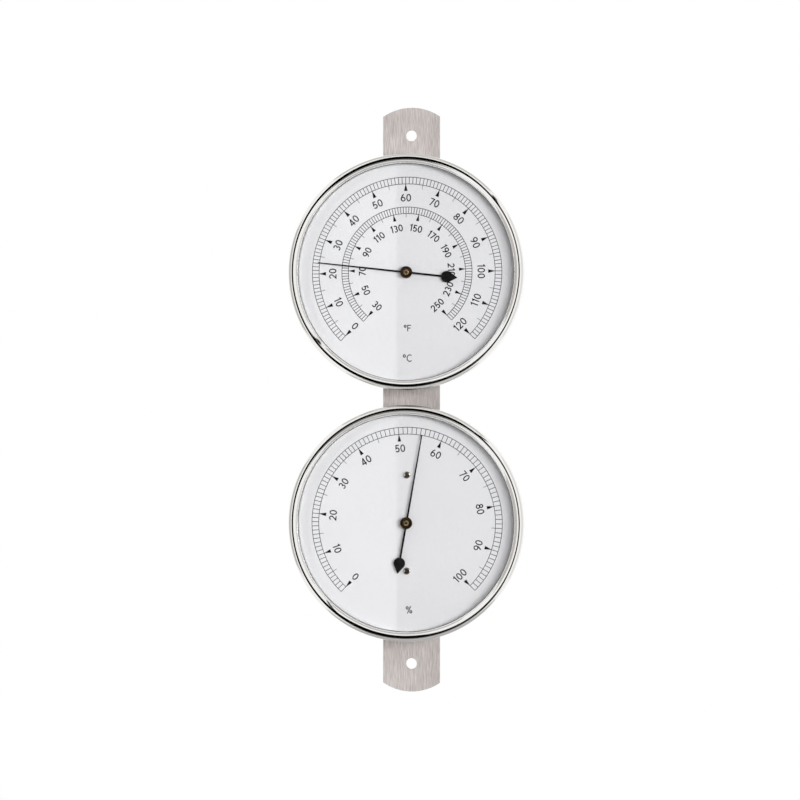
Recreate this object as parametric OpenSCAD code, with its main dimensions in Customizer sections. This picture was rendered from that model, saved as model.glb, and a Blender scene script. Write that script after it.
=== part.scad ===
// Sauna thermometer and hygrometer, two round gauges on one hanging strap.
// Origin: centre of the top screw hole, on the wall plane. +Z is up and the dials face -Y.
// Every depth is measured from the wall plane towards the front. Sizes are in millimetres.

/* [Hanging strap] */
// Width of the strap
strap_w = 25; // [22:0.5:36]
// Thickness of the strap, which also sets how far the cases stand off the wall
strap_t = 1.2; // [1:0.1:3]
// Diameter of the screw holes
hole_d = 4.8; // [3:0.1:8]
// From a screw hole's centre to the end of the strap
hole_margin = 12.3; // [8:0.1:20]
// From the top screw hole's centre down to the thermometer's bezel
top_hole_gap = 9.9; // [8:0.1:40]
// From the hygrometer's bezel down to the bottom screw hole's centre
bottom_hole_gap = 11.6; // [8:0.1:40]
// Radius of the arc that ends the strap
end_r = 22; // [18:0.5:60]

/* [Gauges] */
// Outer radius of the bezel
bezel_r = 51; // [50:0.1:56]
// Space between the two bezels
gauge_gap = 6.5; // [3:0.1:30]
// Thickness of the bezel's sheet
bezel_t = 0.6; // [0.4:0.05:0.8]
// Radius of the bezel's rolled front edge
roll_r = 2.05; // [1.8:0.05:2.3]

/* [Case] */
// Thickness of the case's wall
case_wall = 0.6; // [0.4:0.05:0.9]
// Depth of the cup behind the dial
case_depth = 17.4; // [17:0.1:24]
// Outer radius of the drawn corner at the back of the cup
case_corner_r = 3; // [1.5:0.1:6]
// Width of the rim that the bezel is crimped over
rim_w = 1.9; // [1.2:0.1:2.2]
// Depth of the rim with its edge turned back, which the bezel's skirt covers
rim_turn = 4.4; // [2:0.1:8]
// Width of the step that the dial rests on
step_w = 2.6; // [1.5:0.1:4]
// Distance between the two case rivets of a gauge
rivet_spacing = 44; // [42:0.5:60]
// Diameter of a case rivet
rivet_d = 3.2; // [2.4:0.1:4]
// Diameter of a case rivet's countersunk head
rivet_head_d = 5.2; // [4.6:0.1:7]
// Number of vent holes round the hygrometer's case
vent_count = 16; // [6:1:24]
// Diameter of a vent hole
vent_d = 4; // [2:0.1:6]

/* [Front of a gauge] */
// Thickness of the dial
dial_t = 0.8; // [0.5:0.1:1.2]
// Height of the spacer ring between the dial and the glass
spacer_h = 3.8; // [3.6:0.1:8]
// Thickness of the glass
glass_t = 1.6; // [1:0.1:3]
// Thickness of the seal between the glass and the bezel
seal_t = 0.4; // [0.2:0.05:0.8]

/* [Pointers] */
// Length of a pointer from the hub's centre to the tip
pointer_len = 38.8; // [30:0.1:42]
// Thickness of a pointer
pointer_t = 0.4; // [0.3:0.05:0.5]
// Width of a pointer at its tip
pointer_tip_w = 0.46; // [0.3:0.02:0.8]
// Width of a pointer at its hub
pointer_hub_w = 0.85; // [0.6:0.05:1.4]
// From the hub's centre to the middle of the counterweight
tail_r = 17.7; // [12:0.1:22]
// Radius of the round part of the counterweight
tail_bulb_r = 2.5; // [1.6:0.1:3.4]
// From the middle of the counterweight to its point
tail_point = 4.6; // [3.6:0.1:8]
// Height of a pointer's back face above the dial
pointer_lift = 1.6; // [1.4:0.1:1.8]
// Radius of a pointer's hub
hub_r = 2.6; // [2.2:0.1:4]
// Dial angle of the thermometer's pointer at rest, anticlockwise from the right
thermometer_rest = 173.6; // [0:0.1:220]
// Dial angle of the hygrometer's pointer at rest, anticlockwise from the right
hygrometer_rest = 80; // [0:0.1:220]

/* [Arbors and bushes] */
// Radius of an arbor in its main bearing
arbor_r = 1; // [0.8:0.05:1.1]
// Radius of an arbor's front seat, which the hub is pressed on
arbor_seat_r = 1.2; // [1.2:0.05:1.5]
// Radius of the hygrometer arbor's rear pivot
pivot_r = 0.6; // [0.4:0.05:0.7]
// Running clearance between a shaft and its bore, on the radius
running_gap = 0.03; // [0.02:0.01:0.08]
// Clearance between pieces pressed or riveted together, on the radius
seat_gap = 0.02; // [0.01:0.01:0.05]

/* [Thermometer movement] */
// Thickness of the strip that the bridge is bent from
bridge_t = 0.8; // [0.6:0.1:1.2]
// Width of the bridge
bridge_w = 12; // [9:0.5:16]
// Height of the bridge above its feet
bridge_h = 11.2; // [10.8:0.1:12]
// Half the distance between the inner faces of the bridge's legs
bridge_half_span = 15; // [13:0.1:16]
// Thickness of the base plate
base_t = 1; // [0.8:0.1:1.2]
// Thickness of the bimetal strip
bimetal_t = 0.5; // [0.3:0.05:0.7]
// Height of the bimetal strip
bimetal_h = 4; // [3:0.1:4.2]
// Distance from one turn of the bimetal spiral to the next
bimetal_pitch = 1.5; // [1.2:0.05:1.7]
// Number of turns of the bimetal spiral
bimetal_turns = 5; // [3:1:6]
// Radius of the collet that grips the inner end of the bimetal spiral
collet_r = 2.4; // [2:0.1:2.8]

/* [Hygrometer movement] */
// Distance between the two dial screws
dial_screw_spacing = 41.6; // [36:0.2:46]
// Clearance between the movement's screws and the floor of the case
floor_gap = 1; // [0.5:0.1:1.6]
// Thickness of the frame plate
frame_t = 1; // [0.8:0.1:1.2]
// Length of the posts between the frame and the cock
post_len = 6.8; // [6.8:0.1:7.4]
// Gear module: pitch diameter per tooth
tooth_module = 0.4; // [0.36:0.01:0.42]
// Number of teeth on the pinion
pinion_teeth = 8; // [8:1:9]
// Number of teeth that the sector's circle would have all round
sector_full_teeth = 96; // [90:1:104]
// Number of teeth cut on each side of the sector's middle tooth
sector_half_teeth = 5; // [4:1:6]
// Direction from the pointer's axis to the sector lever's pivot
lever_dir = 225; // [222:1:228]
// Distance from the lever's pivot to the hair's lower end
short_arm = 3.2; // [3.2:0.1:4]
// Clearance between the hair adjuster's collar and the wall of the case
adjuster_wall_gap = 3.4; // [2.5:0.1:8]
// Number of strands in the hair element
hair_strands = 5; // [3:1:7]
// Diameter of one hair strand
strand_d = 0.2; // [0.15:0.01:0.24]
// Distance from the hair adjuster's axis to the hair
adjuster_arm = 5; // [4.4:0.1:6]

/* [Hidden] */
$fn = 96;

// Colours of the finishes
steel = [0.80, 0.79, 0.77];
bright_steel = [0.90, 0.90, 0.91];
brass = [0.78, 0.62, 0.32];
dark_brass = [0.25, 0.19, 0.11];
white_enamel = [0.93, 0.93, 0.94];
black_lacquer = [0.05, 0.05, 0.05];
clear_glass = [0.85, 0.92, 0.95, 0.35];
black_rubber = [0.12, 0.12, 0.12];
bimetal_strip = [0.62, 0.52, 0.38];
pale_hair = [0.86, 0.80, 0.66];

// Overlap that makes two cuts or two joined shapes meet cleanly
bite = 0.2;

// Clearances between pieces that only rest in or beside each other
rim_gap = 0.1;
disc_gap = 0.3;
end_gap = 0.1;
clip_gap = 0.02;
split_gap = 0.03;
screw_gap = 0.15;
coil_gap = 0.05;
shaft_hole_gap = 0.6;

// Edges, ends and walls that several pieces share
round_edge = 0.3;
step_edge = 0.2;
rivet_proud = 0.2;
pin_proud = 0.3;
bush_wall = 0.9;
bush_flange_w = 0.9;
bush_flange_t = 0.6;
bush_tail = 1;
clip_wire = 0.5;
clip_lip = 0.9;
clip_mouth_share = 0.8;
groove_depth = 0.5;
tap_extra = 0.4;

// Radii of the case and of what sits in its mouth
rim_r = bezel_r - bezel_t - rim_gap;
mouth_r = rim_r - rim_w;
seat_r = mouth_r - case_wall;
cup_r = mouth_r - step_w;
disc_r = seat_r - disc_gap;
lip_r = bezel_r - 2 * roll_r;

// Places of the gauges and the lower screw hole on the strap
thermometer_drop = top_hole_gap + bezel_r;
gauge_pitch = 2 * bezel_r + gauge_gap;
thermometer_z = -thermometer_drop;
hygrometer_z = thermometer_z - gauge_pitch;
hole_spacing = thermometer_drop + gauge_pitch + bezel_r + bottom_hole_gap;

// Depths from the wall plane, in the order in which the pieces are stacked
case_back = strap_t;
case_floor = case_back + case_wall;
dial_back = case_back + case_depth;
dial_front = dial_back + dial_t;
glass_back = dial_front + spacer_h;
glass_front = glass_back + glass_t;
seal_front = glass_front + seal_t;
rim_back = glass_front - case_wall;
turn_back = glass_front - rim_turn;
crimp_back = turn_back - rim_gap - bezel_t;

// Pointer, hub and the arbor's front end
hub_tail_h = 0.6;
hub_nose_h = 1.2;
hub_wall = 0.5;
hub_stake_w = 0.4;
hub_overhang = 0.1;
bulb_overlap = 0.05;
arbor_proud = 0.15;
centre_mark_r = 0.55;
centre_mark_depth = 0.4;
pointer_back = dial_front + pointer_lift;
pointer_front = pointer_back + pointer_t;
hub_back = pointer_back - hub_tail_h;
hub_front = pointer_front + hub_nose_h;
hub_spigot_r = arbor_seat_r + hub_wall;
arbor_front = hub_front + arbor_proud;
bush_r = arbor_r + bush_wall;

// Case rivets, clinched over the pieces inside the case
rivet_formed_h = 1.1;
rivet_head_h = (rivet_head_d - rivet_d) / 2;

// Thermometer movement
base_front = case_floor + base_t;
base_border = 1;
base_corner_r = 3;
foot_front = base_front + bridge_t;
foot_end = rivet_spacing / 2 + rivet_head_d;
bridge_top = base_front + bridge_h;
bridge_bend_r = 1;
bridge_hole_r = 2.2;
adjuster_neck_r = 3.4;
adjuster_flange_r = 5;
adjuster_flange_t = 1;
adjuster_flange_back = base_front + seat_gap;
adjuster_flange_front = adjuster_flange_back + adjuster_flange_t;
adjuster_tube_r = 2.2;
adjuster_tube_len = 2;
adjuster_tube_front = adjuster_flange_front + adjuster_tube_len;
adjuster_reach = 0.7;
adjuster_rear = case_back - adjuster_reach;
adjuster_slot_w = 1.2;
adjuster_slot_depth = 0.9;
adjuster_groove_r = adjuster_neck_r - groove_depth;
adjuster_clip_r = adjuster_neck_r + clip_lip;
adjuster_clip_front = case_floor - running_gap;
adjuster_clip_back = adjuster_clip_front - clip_wire;
clip_hole_gap = 0.7;
adjuster_hole_r = adjuster_clip_r + clip_hole_gap;
arbor_rest = 0.5;
arbor_rear = adjuster_rear + adjuster_slot_depth + arbor_rest;
spiral_lift = 0.8;
spiral_back = adjuster_tube_front + spiral_lift;
spiral_front = spiral_back + bimetal_h;
spiral_r = collet_r + coil_gap;
spiral_end_r = spiral_r + bimetal_turns * bimetal_pitch;
spiral_tail = 2.6;
spiral_stud_r = 1.1;
spiral_stud_z = 1.3;
spiral_stud_x = spiral_end_r + bimetal_t / 2;
spiral_stud_proud = 0.4;
spiral_stud_front = spiral_front + spiral_stud_proud;
spiral_arm_w = 4;
collet_proud = 0.2;

// Hygrometer movement, stacked from the floor of the case towards the dial
cock_screw_r = 0.7;
cock_screw_head_r = 1.5;
cock_screw_head_h = 0.8;
cock_screw_len = 2.6;
cock_screw_slot_w = 0.4;
cock_t = 1;
cock_back = case_floor + floor_gap + cock_screw_head_h;
cock_front = cock_back + cock_t;
frame_back = cock_front + post_len;
frame_front = frame_back + frame_t;
pillar_len = dial_back - frame_front;
cock_centre_r = 4;
cock_arm_w = 5;
cock_spring_arm_w = 4;
cock_brace_w = 3;
pillar_r = 2.2;
pillar_spigot_r = 1.4;
dial_screw_r = 0.8;
dial_screw_head_r = 1.6;
dial_screw_head_h = 1.1;
dial_screw_len = 4;
dial_screw_slot_w = 0.5;
dial_screw_slot_angle = 40;
post_r = 1.6;
post_spigot_r = 1;
post_x = 9;
post_z = 9;

// Gear teeth
pinion_pitch_r = tooth_module * pinion_teeth / 2;
sector_pitch_r = tooth_module * sector_full_teeth / 2;
mesh_distance = pinion_pitch_r + sector_pitch_r;
pinion_tooth_half = 0.6 * tooth_module;
pinion_root_r = pinion_pitch_r - 1.25 * tooth_module;
pinion_overhang = 0.4;
sector_tooth_half = 0.75 * tooth_module;
sector_tip_half = 0.4 * tooth_module;
sector_root_half = tooth_module;
sector_tip_r = sector_pitch_r + 0.9 * tooth_module;
sector_root_r = sector_pitch_r - 1.05 * tooth_module;
sector_rim_w = 1.6;
sector_spoke_w = 1.4;
sector_spoke_inset = 4;

// Sector lever and its stud
lever_t = 1;
lever_lift = 3.4;
lever_back = cock_front + lever_lift;
lever_front = lever_back + lever_t;
lever_hub_r = 2.2;
lever_hub_step = 0.6;
lever_hub_back = lever_back - lever_hub_step;
lever_hub_front = lever_front + lever_hub_step;
lever_boss_r = 3;
lever_arm_w = 2.4;
lever_x = mesh_distance * cos(lever_dir);
lever_z = mesh_distance * sin(lever_dir);
stud_journal_r = 1;
stud_shoulder_r = 1.8;
stud_spigot_r = 1.2;
stud_groove_r = 0.75;
stud_tail = 0.5;
lever_clip_front = lever_hub_back - end_gap;
lever_clip_back = lever_clip_front - clip_wire;
pinion_back = lever_back - pinion_overhang;
pinion_front = lever_front + pinion_overhang;

// Hair, its clamps and its adjuster
hair_pin_r = 0.6;
clamp_r = 1.1;
clamp_t = 1;
clamp_tube_r = 0.75;
clamp_tube_len = 3.4;
clamp_back = lever_front + end_gap;
clamp_front = clamp_back + clamp_t;
strand_step = 0.26;
adjuster_shaft_r = 2;
adjuster_collar_r = 3;
adjuster_head_t = 0.5;
hair_x = lever_x - short_arm;
hair_adjuster_x = hair_x - adjuster_arm;
hair_adjuster_reach = cup_r - case_wall - adjuster_wall_gap - adjuster_collar_r;
hair_top_z = sqrt(pow(hair_adjuster_reach, 2) - pow(hair_adjuster_x, 2));
hair_len = hair_top_z - lever_z;
hair_depth = (clamp_back + clamp_front) / 2;
hair_adjuster_lift = 1.2;
hair_adjuster_rear = case_floor + hair_adjuster_lift;
hair_adjuster_slot_w = 0.8;
hair_adjuster_hole_r = 3;
hair_groove_r = adjuster_shaft_r - groove_depth;
hair_groove_back = frame_front + end_gap;
hair_clip_back = hair_groove_back + clip_gap;
hair_clip_front = hair_clip_back + clip_wire;
hair_groove_front = hair_clip_front + clip_gap;

// Hairspring
spring_t = 0.2;
spring_h = 0.8;
spring_pitch = 0.9;
spring_turns = 4;
spring_collet_r = 1.4;
spring_lift = 1.1;
spring_r = spring_collet_r + coil_gap;
spring_back = cock_front + spring_lift;
spring_front = spring_back + spring_h;
spring_end_r = spring_r + spring_turns * spring_pitch;
spring_stud_r = 0.8;
spring_stud_x = spring_end_r + spring_t / 2;
spring_stud_z = 0.7;

// Outline and window of the frame plate
frame_margin = 2;
frame_corner = 8;
frame_left = hair_adjuster_x - adjuster_collar_r - frame_margin;
frame_right = post_x + post_r + frame_margin;
frame_bottom = -dial_screw_spacing / 2 - pillar_r - frame_margin;
frame_top = hair_top_z + adjuster_collar_r + frame_margin;
window_corner = 3;
window_left_margin = 4.5;
window_right_margin = 7;
window_bottom_margin = 10;
window_top_margin = 12;
window_left = hair_x - window_left_margin;
window_right = hair_x + window_right_margin;
window_bottom = lever_z + window_bottom_margin;
window_top = hair_top_z - window_top_margin;

// Puts a movement or a case at its gauge's centre
module at_thermometer() {
    translate([0, 0, thermometer_z]) children();
}

module at_hygrometer() {
    translate([0, 0, hygrometer_z]) children();
}

// Stands a flat drawing, seen from the front, between two depths
module plate(from, to) {
    translate([0, -from, 0]) rotate([90, 0, 0]) linear_extrude(to - from) children();
}

// Spins a section about the gauge's axis: its x is the radius and its y the depth
module turned() {
    rotate([90, 0, 0]) rotate_extrude() children();
}

// Moves a piece across the dial, seen from the front
module place(x, z) {
    translate([x, 0, z]) children();
}

// Round rod between two depths
module rod(r, from, to) {
    translate([0, -from, 0]) rotate([90, 0, 0]) cylinder(r = r, h = to - from);
}

// Rectangle of a turned section
module band(r_in, r_out, from, to) {
    translate([r_in, from]) square([r_out - r_in, to - from]);
}

// Quarter ring of a section, in the quadrant that sx and sy point to
module corner(x, y, r_in, r_out, sx, sy) {
    translate([x, y]) intersection() {
        difference() {
            circle(r = r_out);
            circle(r = r_in);
        }
        scale([sx, sy]) square(r_out + bite);
    }
}

// Rectangle with round corners between two opposite corner points
module rounded(x0, y0, x1, y1, r) {
    translate([x0 + r, y0]) square([x1 - x0 - 2 * r, y1 - y0]);
    translate([x0, y0 + r]) square([x1 - x0, y1 - y0 - 2 * r]);
    for (x = [x0 + r, x1 - r], y = [y0 + r, y1 - r]) {
        translate([x, y]) circle(r = r);
    }
}

// Bar with round ends between two points
module link(x0, y0, x1, y1, w) {
    length = sqrt(pow(x1 - x0, 2) + pow(y1 - y0, 2));
    translate([x0, y0]) rotate(atan2(y1 - y0, x1 - x0)) {
        translate([0, -w / 2]) square([length, w]);
        circle(d = w);
        translate([length, 0]) circle(d = w);
    }
}

// Flat coil made of half rings, each half a pitch wider than the one before
module coil(r, pitch, turns, t, from, to) {
    translate([0, -from, 0]) rotate([90, 0, 0])
        for (k = [0 : 2 * turns - 1]) {
            translate([k % 2 == 0 ? 0 : pitch / 2, 0, 0])
                rotate([0, 0, k % 2 == 0 ? 0 : 180])
                    rotate_extrude(angle = 180)
                        translate([r + k * pitch / 2, 0]) square([t, to - from]);
        }
}

// Slot for a screwdriver right across a round head
module driver_slot(head_r, w) {
    translate([-head_r - bite, -w / 2]) square([2 * head_r + 2 * bite, w]);
}

// Open spring clip that snaps into a shaft's groove, seen from the front
module clip_shape(groove_r, r_out) {
    mouth_half = clip_mouth_share * groove_r;
    difference() {
        circle(r = r_out);
        circle(r = groove_r + seat_gap);
        translate([0, -mouth_half]) square([r_out + bite, 2 * mouth_half]);
    }
}

// Strap, seen from the front, with its origin at the top screw hole
module strap_shape() {
    sagitta = end_r - sqrt(pow(end_r, 2) - pow(strap_w / 2, 2));
    top = hole_margin;
    bottom = -hole_spacing - hole_margin;
    translate([-strap_w / 2, bottom + sagitta]) square([strap_w, top - bottom - 2 * sagitta]);
    for (side = [[top - end_r, 1], [bottom + end_r, -1]]) {
        translate([0, side[0]]) scale([1, side[1]]) intersection() {
            circle(r = end_r);
            translate([-strap_w / 2, end_r - sagitta - bite]) square([strap_w, sagitta + 2 * bite]);
        }
    }
}

// Countersunk rivet of a case: its head is flush with the strap's back
module rivet(grip) {
    turned() {
        polygon([[0, 0], [rivet_head_d / 2, 0], [rivet_d / 2, rivet_head_h], [0, rivet_head_h]]);
        band(0, rivet_d / 2, 0, grip);
        translate([0, grip]) intersection() {
            circle(r = rivet_head_d / 2);
            band(0, rivet_head_d / 2, 0, rivet_formed_h);
        }
    }
}

module rivet_pair(grip) {
    for (z = [-rivet_spacing / 2, rivet_spacing / 2]) {
        place(0, z) rivet(grip);
    }
}

module rivet_holes(from, to) {
    for (z = [-rivet_spacing / 2, rivet_spacing / 2]) {
        place(0, z) rod(rivet_d / 2 + seat_gap, from, to);
    }
}

module rivet_countersinks() {
    for (z = [-rivet_spacing / 2, rivet_spacing / 2]) {
        place(0, z) turned() polygon([
            [0, -bite],
            [rivet_head_d / 2 + bite + seat_gap, -bite],
            [rivet_d / 2 + seat_gap, rivet_head_h],
            [0, rivet_head_h]
        ]);
    }
}

// Drawn cup with a stepped mouth and a rim whose edge is turned back
module cup() {
    wall_back = case_back + case_corner_r;
    turned() {
        band(0, cup_r - case_corner_r, case_back, case_floor);
        corner(cup_r - case_corner_r, wall_back, case_corner_r - case_wall, case_corner_r, 1, -1);
        band(cup_r - case_wall, cup_r, wall_back, dial_back);
        band(cup_r - case_wall, mouth_r, dial_back - case_wall, dial_back);
        band(seat_r, mouth_r, dial_back - case_wall, glass_front);
        band(seat_r, rim_r, rim_back, glass_front);
        band(rim_r - case_wall, rim_r, turn_back, rim_back);
    }
}

// Flat disc of a gauge's mouth
module mouth_disc(from, to) {
    rod(disc_r, from, to);
}

module spacer_ring() {
    color(white_enamel) turned() band(lip_r, disc_r, dial_front, glass_back);
}

module glass_disc() {
    color(clear_glass) mouth_disc(glass_back, glass_front);
}

module glass_seal() {
    color(black_rubber) turned() band(lip_r + coil_gap, rim_r, glass_front, seal_front);
}

// Rolled bezel: a half-round front, a skirt round the rim and an edge crimped behind it
module bezel() {
    color(bright_steel) turned() {
        translate([bezel_r - roll_r, seal_front]) intersection() {
            difference() {
                circle(r = roll_r);
                circle(r = roll_r - bezel_t);
            }
            translate([-roll_r, 0]) square([2 * roll_r, roll_r]);
        }
        band(bezel_r - bezel_t, bezel_r, crimp_back + bezel_t, seal_front);
        corner(bezel_r - bezel_t, crimp_back + bezel_t, 0, bezel_t, 1, -1);
        band(mouth_r + disc_gap, bezel_r - bezel_t, crimp_back, crimp_back + bezel_t);
    }
}

// Needle with a teardrop counterweight, seen from the front and pointing right
module pointer_shape() {
    tangent = acos(tail_bulb_r / tail_point);
    side_r = tail_bulb_r - bulb_overlap;
    polygon([
        [0, -pointer_hub_w / 2],
        [pointer_len, -pointer_tip_w / 2],
        [pointer_len, pointer_tip_w / 2],
        [0, pointer_hub_w / 2]
    ]);
    translate([-tail_r, -pointer_hub_w / 2]) square([tail_r, pointer_hub_w]);
    translate([-tail_r, 0]) {
        circle(r = tail_bulb_r);
        polygon([
            [-tail_point, 0],
            [-side_r * cos(tangent), -side_r * sin(tangent)],
            [0, 0],
            [-side_r * cos(tangent), side_r * sin(tangent)]
        ]);
    }
    circle(r = hub_r - hub_overhang);
}

module pointer(angle) {
    color(black_lacquer) difference() {
        plate(pointer_back, pointer_front) rotate(angle) pointer_shape();
        rod(hub_spigot_r + seat_gap, pointer_back - bite, pointer_front + bite);
    }
}

// Section of a round head whose front edge is rounded
module turned_head(r, from, to) {
    band(0, r, from, to - round_edge);
    band(0, r - round_edge, from, to);
    corner(r - round_edge, to - round_edge, 0, round_edge, 1, 1);
}

// Section of an arbor's front end: the hub's seat, with a broken edge and a lathe's centre mark
module arbor_seat(shoulder) {
    difference() {
        union() {
            band(0, arbor_seat_r, shoulder, arbor_front - step_edge);
            band(0, arbor_seat_r - step_edge, shoulder, arbor_front);
        }
        polygon([
            [0, arbor_front - centre_mark_depth],
            [centre_mark_r, arbor_front],
            [centre_mark_r, arbor_front + bite],
            [0, arbor_front + bite]
        ]);
    }
}

// Brass boss: a spigot through the pointer, staked over behind it
module pointer_hub() {
    color(dark_brass) difference() {
        turned() {
            turned_head(hub_r, pointer_front, hub_front);
            band(0, hub_spigot_r, pointer_back - bite, pointer_front + bite);
            band(0, hub_spigot_r + hub_stake_w, hub_back, pointer_back);
        }
        rod(arbor_seat_r + seat_gap, hub_back - bite, hub_front + bite);
    }
}

// Dial disc with a hole for the arbor
module dial_disc() {
    difference() {
        mouth_disc(dial_back, dial_front);
        rod(arbor_seat_r + shaft_hole_gap, dial_back - bite, dial_front + bite);
    }
}

// Flanged bearing bush pressed into a plate from the front
module flanged_bush(r, bore, plate_back, plate_front) {
    color(brass) difference() {
        turned() {
            band(0, r, plate_back - bush_tail, plate_front + bite);
            band(0, r + bush_flange_w, plate_front, plate_front + bush_flange_t);
        }
        rod(bore + running_gap, plate_back - bush_tail - bite, plate_front + bush_flange_t + bite);
    }
}

module hanging_strap() {
    color(steel) difference() {
        plate(0, strap_t) strap_shape();
        for (z = [0, -hole_spacing]) {
            place(0, z) rod(hole_d / 2, -bite, strap_t + bite);
        }
        at_thermometer() {
            rivet_holes(-bite, strap_t + bite);
            rivet_countersinks();
            rod(adjuster_hole_r, -bite, strap_t + bite);
        }
        at_hygrometer() {
            rivet_holes(-bite, strap_t + bite);
            rivet_countersinks();
        }
    }
}

module thermometer_case() {
    color(steel) at_thermometer() difference() {
        cup();
        rivet_holes(case_back - bite, case_floor + bite);
        rod(adjuster_hole_r, case_back - bite, case_floor + bite);
    }
}

module thermometer_case_rivets() {
    color(bright_steel) at_thermometer() rivet_pair(foot_front);
}

module thermometer_base_plate() {
    half_w = bridge_w / 2 + base_border;
    color(brass) at_thermometer() difference() {
        plate(case_floor, base_front) rounded(-half_w, -foot_end, half_w, foot_end, base_corner_r);
        rivet_holes(case_floor - bite, base_front + bite);
        rod(adjuster_neck_r + running_gap, case_floor - bite, base_front + bite);
    }
}

// Side view of half the bridge: x is the distance from the axis and y the depth
module bridge_section() {
    r = bridge_bend_r;
    t = bridge_t;
    leg = bridge_half_span;
    band(leg + t + r, foot_end, base_front, foot_front);
    corner(leg + t + r, foot_front + r, r, r + t, -1, -1);
    band(leg, leg + t, foot_front + r, bridge_top - t - r);
    corner(leg - r, bridge_top - t - r, r, r + t, 1, 1);
    band(0, leg - r, bridge_top - t, bridge_top);
}

module thermometer_bridge() {
    color(brass) at_thermometer() difference() {
        for (side = [1, -1]) {
            scale([1, 1, side]) rotate([180, -90, 0])
                linear_extrude(bridge_w, center = true) bridge_section();
        }
        rivet_holes(base_front - bite, foot_front + bite);
        rod(bush_r + seat_gap, bridge_top - bridge_t - bite, bridge_top + bite);
        for (z = [-bridge_half_span / 2, bridge_half_span / 2]) {
            place(0, z) rod(bridge_hole_r, bridge_top - bridge_t - bite, bridge_top + bite);
        }
    }
}

module thermometer_front_bush() {
    at_thermometer() flanged_bush(bush_r, arbor_r, bridge_top - bridge_t, bridge_top);
}

// Slot in a stud that a spiral's outer end lies in, seen from the front
module stud_split(x, t, z, stud_r) {
    translate([x - split_gap, z - 2 * stud_r]) square([t + 2 * split_gap, 4 * stud_r]);
}

// Slotted adjuster: a neck in the base plate, an arm and a stud that holds the spiral's outer end
module thermometer_spiral_adjuster() {
    color(brass) at_thermometer() difference() {
        union() {
            turned() {
                band(0, adjuster_neck_r, adjuster_rear, adjuster_clip_back - clip_gap);
                band(0, adjuster_groove_r, adjuster_rear, adjuster_flange_front);
                band(0, adjuster_neck_r, adjuster_clip_front + clip_gap, adjuster_flange_front);
                band(0, adjuster_flange_r, adjuster_flange_back, adjuster_flange_front);
                band(0, adjuster_tube_r, adjuster_flange_back, adjuster_tube_front);
            }
            plate(adjuster_flange_back, adjuster_flange_front)
                link(0, 0, spiral_stud_x, spiral_stud_z, spiral_arm_w);
            place(spiral_stud_x, spiral_stud_z) rod(spiral_stud_r, adjuster_flange_back, spiral_stud_front);
        }
        rod(arbor_r + running_gap, arbor_rear - end_gap, adjuster_tube_front + bite);
        plate(adjuster_rear - bite, adjuster_rear + adjuster_slot_depth)
            driver_slot(adjuster_neck_r, adjuster_slot_w);
        plate(spiral_back - end_gap, spiral_stud_front + bite)
            stud_split(spiral_end_r, bimetal_t, spiral_stud_z, spiral_stud_r);
    }
}

module thermometer_adjuster_clip() {
    color(bright_steel) at_thermometer()
        plate(adjuster_clip_back, adjuster_clip_front) clip_shape(adjuster_groove_r, adjuster_clip_r);
}

module thermometer_bimetal_spiral() {
    color(bimetal_strip) at_thermometer() {
        coil(spiral_r, bimetal_pitch, bimetal_turns, bimetal_t, spiral_back, spiral_front);
        plate(spiral_back, spiral_front) translate([spiral_end_r, 0]) square([bimetal_t, spiral_tail]);
    }
}

// Collar that grips a spiral's inner end
module coil_collet(r, bore_r, coil_back, coil_front) {
    back = coil_back - collet_proud;
    front = coil_front + collet_proud;
    color(brass) difference() {
        rod(r, back, front);
        rod(bore_r + seat_gap, back - bite, front + bite);
    }
}

module thermometer_spiral_collet() {
    at_thermometer() coil_collet(collet_r, arbor_r, spiral_back, spiral_front);
}

// Plain arbor with a thicker front end that the hub is pressed on
module thermometer_arbor() {
    shoulder = bridge_top + bush_flange_t + end_gap;
    color(bright_steel) at_thermometer() turned() {
        band(0, arbor_r, arbor_rear, shoulder + bite);
        arbor_seat(shoulder);
    }
}

module thermometer_dial() {
    color(white_enamel) at_thermometer() dial_disc();
}

module thermometer_pointer() {
    at_thermometer() pointer(thermometer_rest);
}

module thermometer_pointer_hub() {
    at_thermometer() pointer_hub();
}

module thermometer_spacer_ring() {
    at_thermometer() spacer_ring();
}

module thermometer_glass() {
    at_thermometer() glass_disc();
}

module thermometer_glass_seal() {
    at_thermometer() glass_seal();
}

module thermometer_bezel() {
    at_thermometer() bezel();
}

// Cup with a ring of vent holes and a hole that a screwdriver reaches the hair adjuster through
module hygrometer_case() {
    vent_depth = case_back + case_depth / 2;
    color(steel) at_hygrometer() difference() {
        cup();
        rivet_holes(case_back - bite, case_floor + bite);
        place(hair_adjuster_x, hair_top_z) rod(hair_adjuster_hole_r, case_back - bite, case_floor + bite);
        for (k = [0 : vent_count - 1]) {
            rotate([0, 360 / vent_count * (k + 0.5), 0])
                translate([0, -vent_depth, cup_r - 2 * case_wall]) cylinder(d = vent_d, h = 3 * case_wall);
        }
    }
}

module hygrometer_case_rivets() {
    color(bright_steel) at_hygrometer() rivet_pair(case_floor);
}

module post_places() {
    for (side = [-1, 1]) {
        place(post_x, side * post_z) children();
    }
}

// Rear bridge of the hygrometer movement, two arms from the posts to the axis
module hygrometer_cock() {
    color(brass) at_hygrometer() difference() {
        plate(cock_back, cock_front) {
            link(0, 0, post_x, post_z, cock_arm_w);
            link(0, 0, post_x, -post_z, cock_arm_w);
            circle(r = cock_centre_r);
            link(0, 0, spring_stud_x, spring_stud_z, cock_spring_arm_w);
            link(post_x, post_z, post_x, -post_z, cock_brace_w);
        }
        rod(pivot_r + bush_wall + seat_gap, cock_back - bite, cock_front + bite);
        place(spring_stud_x, spring_stud_z)
            rod(spring_stud_r + seat_gap, cock_back - bite, cock_front + bite);
        post_places() rod(cock_screw_r + screw_gap, cock_back - bite, cock_front + bite);
    }
}

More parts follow.
